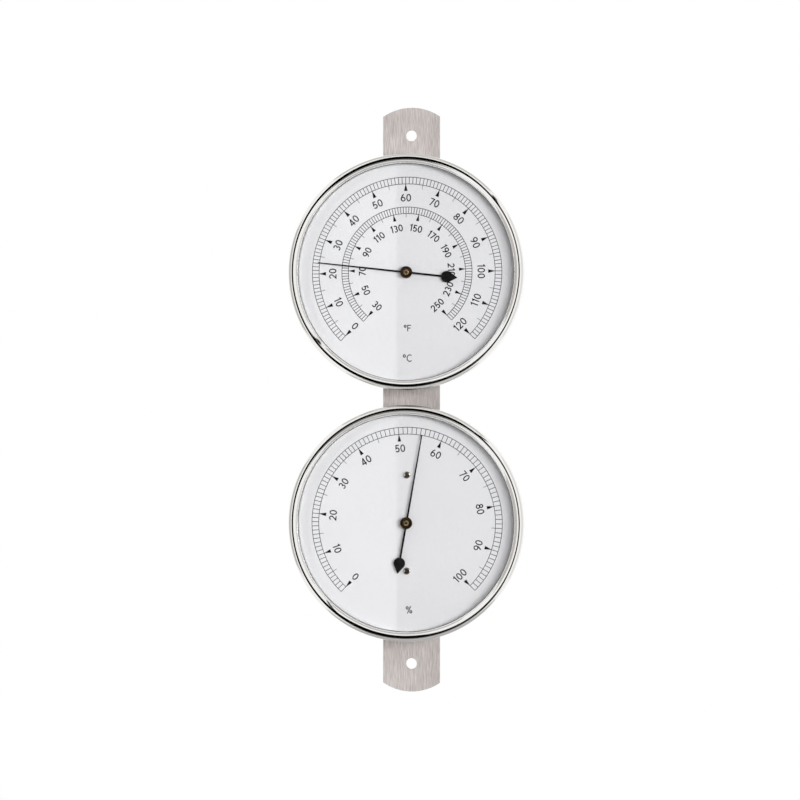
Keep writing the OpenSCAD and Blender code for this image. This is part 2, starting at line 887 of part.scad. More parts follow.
module hygrometer_cock_posts() {
    color(brass) at_hygrometer() post_places() difference() {
        union() {
            rod(post_r, cock_front, frame_back);
            rod(post_spigot_r, frame_back - bite, frame_front + rivet_proud);
        }
        rod(cock_screw_r, cock_front - bite, cock_front + cock_screw_len + tap_extra);
    }
}

// Cheese-head screw that points to the front, its slot on the back
module hygrometer_cock_screws() {
    color(bright_steel) at_hygrometer() post_places() difference() {
        union() {
            rod(cock_screw_head_r, cock_back - cock_screw_head_h, cock_back);
            rod(cock_screw_r - seat_gap, cock_back - bite, cock_front + cock_screw_len);
        }
        plate(cock_back - cock_screw_head_h - bite, cock_back - cock_screw_head_h / 2)
            driver_slot(cock_screw_head_r, cock_screw_slot_w);
    }
}

module hygrometer_rear_bush() {
    at_hygrometer() color(brass) difference() {
        rod(pivot_r + bush_wall, cock_back, cock_front + pin_proud);
        rod(pivot_r + running_gap, cock_back - bite, cock_front + pin_proud + bite);
    }
}

module hygrometer_hairspring() {
    color(bright_steel) at_hygrometer() {
        coil(spring_r, spring_pitch, spring_turns, spring_t, spring_back, spring_front);
        plate(spring_back, spring_front) translate([spring_end_r, 0]) square([spring_t, 2 * spring_stud_z]);
    }
}

module hygrometer_hairspring_collet() {
    at_hygrometer() coil_collet(spring_collet_r, pivot_r, spring_back, spring_front);
}

// Pin in the cock, split for the hairspring's outer end
module hygrometer_hairspring_stud() {
    color(brass) at_hygrometer() difference() {
        place(spring_stud_x, spring_stud_z) rod(spring_stud_r, cock_back, spring_front + pin_proud);
        plate(spring_back - end_gap, spring_front + pin_proud + bite)
            stud_split(spring_end_r, spring_t, spring_stud_z, spring_stud_r);
    }
}

// Pinion of round-ended leaves. A gap between two leaves faces the sector lever
module pinion_shape() {
    rotate(lever_dir) {
        circle(r = pinion_root_r);
        for (k = [0 : pinion_teeth - 1]) {
            rotate(360 / pinion_teeth * (k + 0.5)) {
                translate([0, -pinion_tooth_half]) square([pinion_pitch_r, 2 * pinion_tooth_half]);
                translate([pinion_pitch_r, 0]) circle(r = pinion_tooth_half);
            }
        }
    }
}

module hygrometer_pinion() {
    color(brass) at_hygrometer() difference() {
        plate(pinion_back, pinion_front) pinion_shape();
        rod(pivot_r + seat_gap, pinion_back - bite, pinion_front + bite);
    }
}

// Sector lever seen from the front, with its pivot at the origin and its middle tooth on the right
module sector_shape() {
    pitch_angle = 360 / sector_full_teeth;
    half_angle = pitch_angle * (sector_half_teeth + 0.5);
    reach = sector_root_r + bite;
    intersection() {
        difference() {
            circle(r = sector_root_r);
            circle(r = sector_root_r - sector_rim_w);
        }
        polygon([
            [0, 0],
            [reach, -reach * tan(half_angle)],
            [reach, reach * tan(half_angle)]
        ]);
    }
    for (k = [-sector_half_teeth : sector_half_teeth]) {
        rotate(k * pitch_angle) polygon([
            [sector_root_r - bite, -sector_root_half],
            [sector_pitch_r, -sector_tooth_half],
            [sector_tip_r, -sector_tip_half],
            [sector_tip_r, sector_tip_half],
            [sector_pitch_r, sector_tooth_half],
            [sector_root_r - bite, sector_root_half]
        ]);
    }
    for (side = [-1, 1]) {
        rotate(side * (half_angle - sector_spoke_inset)) translate([0, -sector_spoke_w / 2])
            square([sector_root_r - sector_rim_w / 2, sector_spoke_w]);
    }
}

// Pin on the lever's or the adjuster's arm that a hair clamp turns on
module hair_pin() {
    rod(hair_pin_r, lever_back, clamp_front + pin_proud);
}

module hygrometer_sector_lever() {
    color(brass) at_hygrometer() place(lever_x, lever_z) difference() {
        union() {
            plate(lever_back, lever_front) {
                rotate(lever_dir - 180) sector_shape();
                circle(r = lever_boss_r);
                link(0, 0, -short_arm, 0, lever_arm_w);
            }
            rod(lever_hub_r, lever_hub_back, lever_front);
            intersection() {
                rod(lever_hub_r, lever_front - bite, lever_hub_front);
                plate(lever_front - bite, lever_hub_front)
                    translate([-short_arm + clamp_r + end_gap, -lever_hub_r])
                        square(2 * lever_hub_r + short_arm);
            }
            place(-short_arm, 0) hair_pin();
        }
        rod(stud_journal_r + running_gap, lever_hub_back - bite, lever_hub_front + bite);
    }
}

// Shouldered pin riveted in the frame, the lever's axle
module hygrometer_lever_stud() {
    color(bright_steel) at_hygrometer() place(lever_x, lever_z) turned() {
        band(0, stud_journal_r, lever_clip_back - stud_tail, lever_clip_back - clip_gap);
        band(0, stud_groove_r, lever_clip_back - stud_tail, frame_back);
        band(0, stud_journal_r, lever_clip_front + clip_gap, frame_back);
        band(0, stud_shoulder_r, lever_hub_front + end_gap, frame_back);
        band(0, stud_spigot_r, frame_back - bite, frame_front + rivet_proud);
    }
}

module hygrometer_lever_clip() {
    color(bright_steel) at_hygrometer() place(lever_x, lever_z)
        plate(lever_clip_back, lever_clip_front) clip_shape(stud_groove_r, stud_journal_r + clip_lip);
}

// Strands side by side from one clamp's tube to the other's
module hygrometer_hair() {
    first = -(hair_strands - 1) / 2;
    color(pale_hair) at_hygrometer() for (k = [0 : hair_strands - 1]) {
        translate([hair_x + (first + k) * strand_step, -hair_depth, lever_z + clamp_tube_len])
            cylinder(d = strand_d, h = hair_len - 2 * clamp_tube_len, $fn = 24);
    }
}

// Eye and crimped tube at one end of the hair, with the tube pointing up or down
module hair_clamp(up) {
    color(brass) union() {
        difference() {
            rod(clamp_r, clamp_back, clamp_front);
            rod(hair_pin_r + running_gap, clamp_back - bite, clamp_front + bite);
        }
        plate(clamp_back, clamp_front)
            translate([-clamp_tube_r, up > 0 ? clamp_r - bite : -clamp_tube_len])
                square([2 * clamp_tube_r, clamp_tube_len - clamp_r + bite]);
    }
}

module hygrometer_lower_hair_clamp() {
    at_hygrometer() place(hair_x, lever_z) hair_clamp(1);
}

module hygrometer_upper_hair_clamp() {
    at_hygrometer() place(hair_x, hair_top_z) hair_clamp(-1);
}

// Slotted shaft through the frame, with an arm and a pin that hold the hair's upper end
module hygrometer_hair_adjuster() {
    color(brass) at_hygrometer() place(hair_adjuster_x, hair_top_z) difference() {
        union() {
            turned() {
                band(0, adjuster_shaft_r, hair_adjuster_rear, hair_groove_back);
                band(0, adjuster_collar_r, lever_back, frame_back - running_gap);
                band(0, hair_groove_r, frame_front, hair_groove_front);
                band(0, adjuster_shaft_r, hair_groove_front, hair_groove_front + adjuster_head_t);
            }
            plate(lever_back, lever_front) link(0, 0, adjuster_arm, 0, lever_arm_w);
            place(adjuster_arm, 0) hair_pin();
        }
        plate(hair_adjuster_rear - bite, hair_adjuster_rear + adjuster_slot_depth)
            driver_slot(adjuster_shaft_r, hair_adjuster_slot_w);
    }
}

module hygrometer_adjuster_clip() {
    color(bright_steel) at_hygrometer() place(hair_adjuster_x, hair_top_z)
        plate(hair_clip_back, hair_clip_front) clip_shape(hair_groove_r, adjuster_shaft_r + clip_lip);
}

// Stamped plate behind the dial, with a window beside the hair
module hygrometer_frame() {
    color(brass) at_hygrometer() difference() {
        plate(frame_back, frame_front) difference() {
            rounded(frame_left, frame_bottom, frame_right, frame_top, frame_corner);
            rounded(window_left, window_bottom, window_right, window_top, window_corner);
        }
        rod(bush_r + seat_gap, frame_back - bite, frame_front + bite);
        for (z = [-dial_screw_spacing / 2, dial_screw_spacing / 2]) {
            place(0, z) rod(pillar_spigot_r + seat_gap, frame_back - bite, frame_front + bite);
        }
        post_places() rod(post_spigot_r + seat_gap, frame_back - bite, frame_front + bite);
        place(lever_x, lever_z) rod(stud_spigot_r + seat_gap, frame_back - bite, frame_front + bite);
        place(hair_adjuster_x, hair_top_z)
            rod(adjuster_shaft_r + running_gap, frame_back - bite, frame_front + bite);
    }
}

module hygrometer_front_bush() {
    at_hygrometer() flanged_bush(bush_r, arbor_r, frame_back, frame_front);
}

// Posts between the frame and the dial, drilled for the dial screws
module hygrometer_pillars() {
    color(brass) at_hygrometer() for (z = [-dial_screw_spacing / 2, dial_screw_spacing / 2]) {
        place(0, z) difference() {
            union() {
                rod(pillar_r, frame_front, frame_front + pillar_len);
                rod(pillar_spigot_r, frame_back - rivet_proud, frame_front + bite);
            }
            rod(dial_screw_r, dial_back - dial_screw_len - tap_extra, dial_back + bite);
        }
    }
}

module hygrometer_arbor() {
    shoulder = frame_front + bush_flange_t + end_gap;
    color(bright_steel) at_hygrometer() turned() {
        band(0, pivot_r, cock_back + end_gap, frame_back);
        band(0, arbor_r, pinion_front + coil_gap, shoulder + bite);
        arbor_seat(shoulder);
    }
}

module hygrometer_dial() {
    color(white_enamel) at_hygrometer() difference() {
        dial_disc();
        for (z = [-dial_screw_spacing / 2, dial_screw_spacing / 2]) {
            place(0, z) rod(dial_screw_r + screw_gap, dial_back - bite, dial_front + bite);
        }
    }
}

// Slotted screws that show on the dial above and below the hub
module hygrometer_dial_screws() {
    head_front = dial_front + dial_screw_head_h;
    color(bright_steel) at_hygrometer() for (z = [-dial_screw_spacing / 2, dial_screw_spacing / 2]) {
        place(0, z) difference() {
            turned() {
                turned_head(dial_screw_head_r, dial_front, head_front);
                band(0, dial_screw_r - seat_gap, dial_back - dial_screw_len, dial_front + bite);
            }
            plate(dial_front + dial_screw_head_h / 2, head_front + bite)
                rotate(dial_screw_slot_angle) driver_slot(dial_screw_head_r, dial_screw_slot_w);
        }
    }
}

module hygrometer_pointer() {
    at_hygrometer() pointer(hygrometer_rest);
}

module hygrometer_pointer_hub() {
    at_hygrometer() pointer_hub();
}

module hygrometer_spacer_ring() {
    at_hygrometer() spacer_ring();
}

module hygrometer_glass() {
    at_hygrometer() glass_disc();
}

module hygrometer_glass_seal() {
    at_hygrometer() glass_seal();
}

module hygrometer_bezel() {
    at_hygrometer() bezel();
}

hanging_strap();
thermometer_case();
thermometer_case_rivets();
thermometer_base_plate();
thermometer_bridge();
thermometer_front_bush();
thermometer_spiral_adjuster();
thermometer_adjuster_clip();
thermometer_bimetal_spiral();
thermometer_spiral_collet();
thermometer_arbor();
thermometer_dial();
thermometer_pointer();
thermometer_pointer_hub();
thermometer_spacer_ring();
thermometer_glass();
thermometer_glass_seal();
thermometer_bezel();
hygrometer_case();
hygrometer_case_rivets();
hygrometer_cock();
hygrometer_cock_posts();
hygrometer_cock_screws();
hygrometer_rear_bush();
hygrometer_hairspring();
hygrometer_hairspring_collet();
hygrometer_hairspring_stud();
hygrometer_pinion();
hygrometer_sector_lever();
hygrometer_lever_stud();
hygrometer_lever_clip();
hygrometer_hair();
hygrometer_lower_hair_clamp();
hygrometer_upper_hair_clamp();
hygrometer_hair_adjuster();
hygrometer_adjuster_clip();
hygrometer_frame();
hygrometer_front_bush();
hygrometer_pillars();
hygrometer_arbor();
hygrometer_dial();
hygrometer_dial_screws();
hygrometer_pointer();
hygrometer_pointer_hub();
hygrometer_spacer_ring();
hygrometer_glass();
hygrometer_glass_seal();
hygrometer_bezel();
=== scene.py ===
"""Sauna thermometer and hygrometer on one hanging strap: finishes, printed dials, fronts and studio.

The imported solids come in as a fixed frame. Pieces whose shape is right keep their mesh and get a finish.
The bezels are spun again with rounded edges, the dial screws are turned again with their slots, the strap
and the pointers get broken edges, and the dials get their print. Lengths are in millimetres until a mesh is
made, depths run from the wall to the front, and dial angles run anticlockwise from the right, seen from the
front.
"""

import logging
from dataclasses import dataclass, field, replace
from enum import Enum
from math import asin, atan2, cos, degrees, pi, radians, sin, tan

import bmesh
import bpy
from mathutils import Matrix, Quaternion, Vector


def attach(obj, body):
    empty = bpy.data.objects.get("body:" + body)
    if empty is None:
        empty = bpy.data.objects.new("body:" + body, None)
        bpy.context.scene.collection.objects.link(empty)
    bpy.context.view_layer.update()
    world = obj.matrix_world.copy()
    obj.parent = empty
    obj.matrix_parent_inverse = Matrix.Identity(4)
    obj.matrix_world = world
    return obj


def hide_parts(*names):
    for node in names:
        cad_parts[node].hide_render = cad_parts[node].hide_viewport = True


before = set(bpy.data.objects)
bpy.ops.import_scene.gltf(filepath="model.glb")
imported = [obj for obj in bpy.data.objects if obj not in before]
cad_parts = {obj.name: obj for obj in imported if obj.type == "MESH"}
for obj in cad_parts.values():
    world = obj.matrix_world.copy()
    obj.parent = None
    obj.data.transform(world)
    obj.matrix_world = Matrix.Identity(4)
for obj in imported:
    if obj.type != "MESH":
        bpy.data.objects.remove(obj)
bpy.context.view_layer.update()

MM = 0.001
LOG = logging.getLogger("sauna_gauges")

Mesh, Object = bpy.types.Mesh, bpy.types.Object
Tree, Node, Socket = bpy.types.NodeTree, bpy.types.Node, bpy.types.NodeSocket
# Two numbers of a drawing, three of a place or size, and a path with whether it is closed
Pair = tuple[float, float]
Triple = tuple[float, float, float]
Stroke = tuple[list[Pair], bool]
# Corners of a square about its middle, in order
SQUARE = ((-1, -1), (1, -1), (1, 1), (-1, 1))
# Room for rounding where a row of values reaches its last one
NEARLY = 1e-6

# Depth of the dials' faces from the wall, height of the ink on them and its reach into the enamel, in mm
DIAL_FACE = 19.4
INK_HEIGHT = 0.02
INK_SUNK = 0.01


class Gauge(Enum):
    """The two gauges; a value starts the names of a gauge's nodes."""

    THERMOMETER = "thermometer"
    HYGROMETER = "hygrometer"

    @property
    def axis(self) -> float:
        """Height of the gauge's axis from the upper screw hole, in mm."""
        return -60.9 if self is Gauge.THERMOMETER else -169.4


class Tops(Enum):
    """Way that the tops of a number's figures point; a value is the turn from outwards, in degrees."""

    OUTWARDS = 0
    INWARDS = 180


# Colours and nodes


def linear(code: str) -> tuple[float, float, float, float]:
    """Turns a written colour into the values that a shader takes.

    Args:
        code: sRGB colour as six hex digits.

    Returns:
        Linear red, green, blue and an alpha of 1.
    """
    parts = [int(code[i : i + 2], 16) / 255 for i in (0, 2, 4)]
    red, green, blue = (p / 12.92 if p <= 0.04045 else ((p + 0.055) / 1.055) ** 2.4 for p in parts)
    return (red, green, blue, 1.0)


def add_node(tree: Tree, kind: str, settings: dict | None = None, **inputs) -> Node:
    """Adds a node with its settings, values and links.

    Args:
        tree: Node tree that takes the node.
        kind: Blender's name for the kind of node.
        settings: Attributes of the node itself.
        inputs: Values or output sockets. Spaces are written as _, and in_0 is the first input.

    Returns:
        The new node.
    """
    node = tree.nodes.new(kind)
    for name, value in (settings or {}).items():
        setattr(node, name, value)
    for key, value in inputs.items():
        socket = node.inputs[int(key[3:])] if key.startswith("in_") else node.inputs[key.replace("_", " ")]
        if isinstance(value, Socket):
            tree.links.new(value, socket)
        else:
            socket.default_value = value
    return node


def reckon(tree: Tree, operation: str, *values: float | Socket) -> Socket:
    """Adds a sum to a node tree.

    Args:
        tree: Node tree that takes the sum.
        operation: Blender's name for the operation.
        values: Its numbers or output sockets, in order.

    Returns:
        The socket of the result.
    """
    inputs = {f"in_{i}": value for i, value in enumerate(values)}
    return add_node(tree, "ShaderNodeMath", {"operation": operation}, **inputs).outputs[0]


# Finishes


@dataclass(frozen=True)
class Finish:
    """A real finish: its name, its colour and the numbers of its shader.

    Attributes:
        name: Name of the material.
        colour: Main colour as six hex digits.
        metallic: 1 for a bare metal.
        roughness: Middle roughness of the surface.
        specular: Strength of the mirror part of a surface that isn't a metal.
        brushed: How far fine upright lines widen a reflection to both sides, from 0 to 1.
    """

    name: str
    colour: str
    metallic: float = 0.0
    roughness: float = 0.5
    specular: float = field(default=0.5, kw_only=True)
    brushed: float = field(default=0.0, kw_only=True)

    def pattern(self, tree: Tree, shader: Node) -> None:
        """Adds the marks of the finish; a plain finish has none.

        Args:
            tree: Node tree of the material.
            shader: The surface's own shader.
        """

    def shader_values(self) -> dict:
        """Returns the values that are the same all over the surface."""
        return {
            "Base_Color": linear(self.colour),
            "Metallic": self.metallic,
            "Roughness": self.roughness,
            "Specular_IOR_Level": self.specular,
            "Anisotropic": self.brushed,
        }

    def build(self) -> bpy.types.Material:
        """Makes the material once and gives the same one again after that.

        Returns:
            The finish as a Blender material.
        """
        known = bpy.data.materials.get(self.name)
        if known is not None:
            return known
        material = bpy.data.materials.new(self.name)
        material.use_nodes = True
        tree = material.node_tree
        tree.nodes.clear()
        shader = add_node(tree, "ShaderNodeBsdfPrincipled", **self.shader_values())
        add_node(tree, "ShaderNodeOutputMaterial", Surface=shader.outputs[0])
        self.pattern(tree, shader)
        return material


@dataclass(frozen=True)
class Grained(Finish):
    """A surface with one grain, which colours, roughens and lifts it.

    Attributes:
        grain_mm: Size of the grain across, up and down, and in depth.
        dark: Colour of the low side of the grain.
        spread: How far roughness goes to each side of its middle.
        lift_mm: Height of the grain.
        cloud_mm: Size of the broad, faint changes of tone.
        cloud_share: Weight of those changes beside the grain's own.
    """

    grain_mm: Triple = (0.3, 0.3, 0.3)
    dark: str = "808080"
    spread: float = 0.05
    lift_mm: float = 0.004
    cloud_mm: float = 12.0
    cloud_share: float = field(default=0.4, kw_only=True)

    def coordinates(self, tree: Tree) -> Socket:
        """Adds the nodes that find a point's place.

        Args:
            tree: Node tree of the material.

        Returns:
            The place on the piece, in metres.
        """
        return add_node(tree, "ShaderNodeTexCoord").outputs["Object"]

    def pattern(self, tree: Tree, shader: Node) -> None:
        """Adds the grain, the broad clouds and the bump.

        Args:
            tree: Node tree of the material.
            shader: The surface's own shader.
        """
        place = self.coordinates(tree)
        scale = Vector([1 / (g * MM) for g in self.grain_mm])
        stretched = add_node(tree, "ShaderNodeMapping", Vector=place, Scale=scale).outputs[0]
        noise = "ShaderNodeTexNoise"
        grain = add_node(tree, noise, Vector=stretched, Scale=1.0, Detail=3.0, Roughness=0.55).outputs[0]
        cloud = add_node(tree, noise, Vector=place, Scale=1 / (self.cloud_mm * MM), Detail=1.0).outputs[0]
        both = reckon(tree, "MULTIPLY_ADD", cloud, self.cloud_share, grain)
        tone = add_node(tree, "ShaderNodeMapRange", Value=both, From_Min=0.45, From_Max=0.95).outputs[0]
        ends = {"in_6": linear(self.dark), "in_7": linear(self.colour)}
        colour = add_node(tree, "ShaderNodeMix", {"data_type": "RGBA"}, Factor=tone, **ends).outputs[2]
        rough = add_node(
            tree,
            "ShaderNodeMapRange",
            Value=grain,
            From_Min=0.3,
            From_Max=0.7,
            To_Min=self.roughness - self.spread,
            To_Max=self.roughness + self.spread,
        ).outputs[0]
        bump = add_node(tree, "ShaderNodeBump", Height=grain, Distance=self.lift_mm * MM, Strength=1.0)
        for socket, name in ((colour, "Base Color"), (rough, "Roughness"), (bump.outputs[0], "Normal")):
            tree.links.new(socket, shader.inputs[name])


@dataclass(frozen=True)
class Turned(Grained):
    """A grain that runs round the gauge's axis, as on a spun, drawn or turned piece.

    Attributes:
        centre_z: Height of the axis in mm.
        ring_mm: Radius at which the way round the axis is measured.
    """

    centre_z: float = 0.0
    ring_mm: float = 50.0

    def around(self, centre_z: float) -> "Turned":
        """Returns the finish for one gauge, under a name of its own.

        Args:
            centre_z: Height of the gauge's axis, in mm.
        """
        return replace(self, name=f"{self.name}_{abs(round(centre_z))}", centre_z=centre_z)

    def coordinates(self, tree: Tree) -> Socket:
        """Adds the nodes that find a point's place as a lathe sees it.

        Args:
            tree: Node tree of the material.

        Returns:
            Radius and depth added up, and the place on a ring for the way round the axis.
        """
        place = add_node(tree, "ShaderNodeTexCoord").outputs["Object"]
        centre = (0.0, 0.0, -self.centre_z * MM)
        moved = add_node(tree, "ShaderNodeMapping", Vector=place, Location=centre).outputs[0]
        apart = add_node(tree, "ShaderNodeSeparateXYZ", Vector=moved).outputs
        flat = add_node(tree, "ShaderNodeCombineXYZ", X=apart[0], Y=apart[2]).outputs[0]
        kind = "ShaderNodeVectorMath"
        radius = add_node(tree, kind, {"operation": "LENGTH"}, in_0=flat).outputs["Value"]
        unit = add_node(tree, kind, {"operation": "NORMALIZE"}, in_0=flat).outputs[0]
        ring = add_node(tree, kind, {"operation": "SCALE"}, in_0=unit, Scale=self.ring_mm * MM).outputs[0]
        split = add_node(tree, "ShaderNodeSeparateXYZ", Vector=ring).outputs
        depth = reckon(tree, "ADD", radius, apart[1])
        return add_node(tree, "ShaderNodeCombineXYZ", X=depth, Y=split[0], Z=split[1]).outputs[0]


@dataclass(frozen=True)
class Pane(Finish):
    """Clear float glass; light from lamps and from the dial goes straight through, so it casts no shadow."""

    def shader_values(self) -> dict:
        """Returns the values of clear glass."""
        return {
            "Base_Color": linear(self.colour),
            "Roughness": self.roughness,
            "IOR": 1.52,
            "Transmission_Weight": 1.0,
        }

    def pattern(self, tree: Tree, shader: Node) -> None:
        """Lets shadow rays and the dial's own light through.

        Args:
            tree: Node tree of the material.
            shader: The glass's own shader.
        """
        rays = add_node(tree, "ShaderNodeLightPath").outputs
        clear = add_node(tree, "ShaderNodeBsdfTransparent", Color=linear(self.colour)).outputs[0]
        surface = shader.outputs[0]
        for ray in ("Is Shadow Ray", "Is Diffuse Ray"):
            mix = add_node(tree, "ShaderNodeMixShader", in_0=rays[ray], in_1=surface, in_2=clear)
            surface = mix.outputs[0]
        out = next(n for n in tree.nodes if n.type == "OUTPUT_MATERIAL")
        tree.links.new(surface, out.inputs["Surface"])


# Stainless strip, ground lengthwise on a belt: long fine scratches, and streaks a few millimetres wide
STRAP_STEEL = Grained(
    "belt_ground_stainless", "f6efec", metallic=0.45, roughness=0.60, brushed=0.9,
    grain_mm=(0.26, 1.0, 5.0), dark="b8afab", spread=0.06, lift_mm=0.02, cloud_mm=30.0,
)
# Screws and rivets: zinc-plated steel, bright with a fine matt skin
PLATED_STEEL = Grained(
    "zinc_plated_steel", "c9c7c2", metallic=1.0, roughness=0.28,
    grain_mm=(0.25, 0.25, 0.25), dark="9c9a96", spread=0.06, lift_mm=0.004, cloud_mm=4.0,
)
# Dial screws: flat heads with a round shoulder, polished and nickel plated
NICKEL = Grained(
    "polished_nickel_plate", "dcd6cc", metallic=1.0, roughness=0.10,
    grain_mm=(0.3, 0.3, 0.3), dark="c2bab0", spread=0.04, lift_mm=0.001, cloud_mm=3.0,
)
# Springs and clips: blued spring steel, dark with a slight gleam
SPRING_STEEL = Grained(
    "blued_spring_steel", "4b4f5c", metallic=1.0, roughness=0.30,
    grain_mm=(0.2, 0.2, 0.2), dark="2f323c", spread=0.05, lift_mm=0.002, cloud_mm=5.0,
)
# Arbors: steel turned bright and tempered to a straw colour
ARBOR_STEEL = Grained(
    "straw_tempered_steel", "e2cfab", metallic=1.0, roughness=0.25,
    grain_mm=(0.15, 0.15, 0.15), dark="b79f78", spread=0.05, lift_mm=0.002, cloud_mm=3.0,
)
# Plates, bushes and gears: rolled brass, tumbled to a soft lustre
BRASS = Grained(
    "tumbled_brass", "c9a45a", metallic=1.0, roughness=0.30,
    grain_mm=(0.2, 0.2, 0.6), dark="9c7a3c", spread=0.06, lift_mm=0.003, cloud_mm=8.0,
)
# Hubs: brass, chemically darkened, worn lighter where it was handled
DARK_BRASS = Grained(
    "darkened_brass", "4a3a28", metallic=1.0, roughness=0.42,
    grain_mm=(0.15, 0.15, 0.15), dark="241b12", spread=0.08, lift_mm=0.003, cloud_mm=2.0,
)
# Painted shade in the centre mark of an arbor: a dark, glossy film that stands for the shade in the recess
CENTRE_MARK_SHADE = Grained(
    "painted_centre_mark_shade", "1c120a", roughness=0.16,
    grain_mm=(0.2, 0.2, 0.2), dark="0f0905", spread=0.04, lift_mm=0.001, cloud_mm=1.0,
)
# Bimetal strip, rolled and heat tinted
BIMETAL = Grained(
    "heat_tinted_bimetal", "b09066", metallic=1.0, roughness=0.34,
    grain_mm=(0.3, 3.0, 0.3), dark="74604a", spread=0.08, lift_mm=0.003, cloud_mm=6.0,
)
# Dial plates: aluminium with a baked white enamel, faintly uneven
ENAMEL = Grained(
    "baked_white_enamel", "e9e9eb", roughness=0.45,
    grain_mm=(1.6, 1.6, 1.6), dark="e3e3e5", spread=0.04, lift_mm=0.0006, cloud_mm=30.0,
)
# Pointers: aluminium sprayed with a satin black lacquer
LACQUER = Grained(
    "satin_black_lacquer", "0c0c0c", roughness=0.45, specular=0.15,
    grain_mm=(0.4, 0.4, 0.4), dark="070707", spread=0.06, lift_mm=0.001, cloud_mm=5.0,
)
# Screen-printed inks, dry and matt
BLACK_INK = Grained(
    "black_screen_ink", "0f0f10", roughness=0.6, specular=0.15,
    grain_mm=(0.2, 0.2, 0.2), dark="0a0a0b", spread=0.06, lift_mm=0.001, cloud_mm=6.0,
)
LINE_INK = replace(BLACK_INK, name="dark_grey_screen_ink", colour="2f2f33", dark="27272b")
PALE_INK = replace(
    BLACK_INK, name="pale_grey_screen_ink", colour="8f8f94", dark="85858a", roughness=0.55, specular=0.5
)
# Spacer rings: white moulded polystyrene
SPACER = Grained(
    "moulded_white_polystyrene", "d9d9d8", roughness=0.42,
    grain_mm=(0.5, 0.5, 0.5), dark="d2d2d1", spread=0.04, lift_mm=0.002, cloud_mm=10.0,
)
# Seals: black rubber with a bloom
RUBBER = Grained(
    "black_seal_rubber", "2a2a2b", roughness=0.62,
    grain_mm=(0.3, 0.3, 0.3), dark="1d1d1e", spread=0.08, lift_mm=0.006, cloud_mm=6.0,
)
# Washed and dyed human hair, in strands
HAIR = Grained(
    "degreased_hair", "c9b184", roughness=0.45,
    grain_mm=(0.06, 0.06, 4.0), dark="8d7448", spread=0.08, lift_mm=0.004, cloud_mm=4.0,
)
# Panes in front of the dials
GLASS = Pane("clear_float_glass", "ffffff", roughness=0.0)
# The flag beside the small lamp: a coarse matt felt
FELT = Grained(
    "black_felt", "050505", roughness=0.9,
    grain_mm=(2.0, 2.0, 2.0), dark="040404", spread=0.05, lift_mm=0.02, cloud_mm=80.0,
)
# The studio's floor: matt paint, rolled on
FLOOR_PAINT = replace(FELT, name="matt_white_floor_paint", colour="f2f2f2", dark="eeeeee", roughness=0.8)
# Bezels: stainless sheet, rolled over and buffed, with hair-fine lines round it
BEZEL_STEEL = Turned(
    "buffed_stainless", "f5f4f2", metallic=1.0, roughness=0.07,
    grain_mm=(0.25, 60.0, 60.0), dark="eceae8", spread=0.02, lift_mm=0.00025, cloud_mm=25.0,
)
# Cases: deep-drawn steel, dull, with faint drawing lines round it
CASE_STEEL = Turned(
    "drawn_zinc_coated_steel", "b9b8b5", metallic=1.0, roughness=0.40,
    grain_mm=(0.6, 90.0, 90.0), dark="9b9a98", spread=0.07, lift_mm=0.003, cloud_mm=18.0,
)


# Meshes


def mesh_of(name: str, points: list[Triple], faces: list[tuple[int, ...]]) -> Mesh:
    """Makes a mesh.

    Args:
        name: Name of the mesh.
        points: Its points, in metres.
        faces: Its faces, as numbers of points.

    Returns:
        The new mesh.
    """
    mesh = bpy.data.meshes.new(name)
    mesh.from_pydata(points, [], faces)
    return mesh


def faces_out(mesh: Mesh, weld: float = 0.0) -> Mesh:
    """Turns the faces of a closed mesh outwards.

    Args:
        mesh: The mesh.
        weld: Distance in metres under which points become one; 0 leaves them all.

    Returns:
        The same mesh.
    """
    work = bmesh.new()
    work.from_mesh(mesh)
    if weld:
        bmesh.ops.remove_doubles(work, verts=work.verts, dist=weld)
        bmesh.ops.dissolve_degenerate(work, dist=weld, edges=work.edges)
    bmesh.ops.recalc_face_normals(work, faces=work.faces)
    work.to_mesh(mesh)
    work.free()
    return mesh


def placed(name: str, data: bpy.types.ID) -> Object:
    """Puts an object in the scene.

    Args:
        name: Its name.
        data: Its mesh, camera or lamp.

    Returns:
        The new object.
    """
    obj = bpy.data.objects.new(name, data)
    bpy.context.scene.collection.objects.link(obj)
    return obj


def hide(obj: Object, *rays: str) -> None:
    """Keeps some kinds of rays from meeting an object.

    Args:
        obj: The object.
        rays: The kinds, as the object's settings name them.
    """
    for ray in rays:
        setattr(obj, f"visible_{ray}", False)


def piece_from(name: str, mesh: Mesh, finish: Finish | None, body: str) -> Object:
    """Puts a mesh in the scene as a piece that rides on a body.

    Args:
        name: Name of the piece.
        mesh: Its mesh, in place.
        finish: Finish of the whole piece, or None where the mesh has its own.
        body: Name of the moving body.

    Returns:
        The new object.
    """
    obj = placed(name, mesh)
    if finish is not None:
        mesh.materials.clear()
        mesh.materials.append(finish.build())
    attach(obj, body)
    LOG.info("%s: %d faces on %s", name, len(mesh.polygons), body)
    return obj


def baked(obj: Object) -> Mesh:
    """Turns an object with modifiers into a plain mesh.

    Args:
        obj: Object to evaluate; it is removed.

    Returns:
        The finished mesh.
    """
    bpy.context.view_layer.update()
    graph = bpy.context.evaluated_depsgraph_get()
    result = obj.evaluated_get(graph)
    mesh = bpy.data.meshes.new_from_object(result, preserve_all_data_layers=True, depsgraph=graph)
    bpy.data.objects.remove(obj)
    return mesh


def smooth(mesh: Mesh, angle: float = 32.0) -> None:
    """Shades a mesh smooth, with sharper edges kept hard.

    Args:
        mesh: The mesh.
        angle: Angle in degrees from which an edge is sharp.
    """
    mesh.shade_smooth()
    mesh.set_sharp_from_angle(angle=radians(angle))


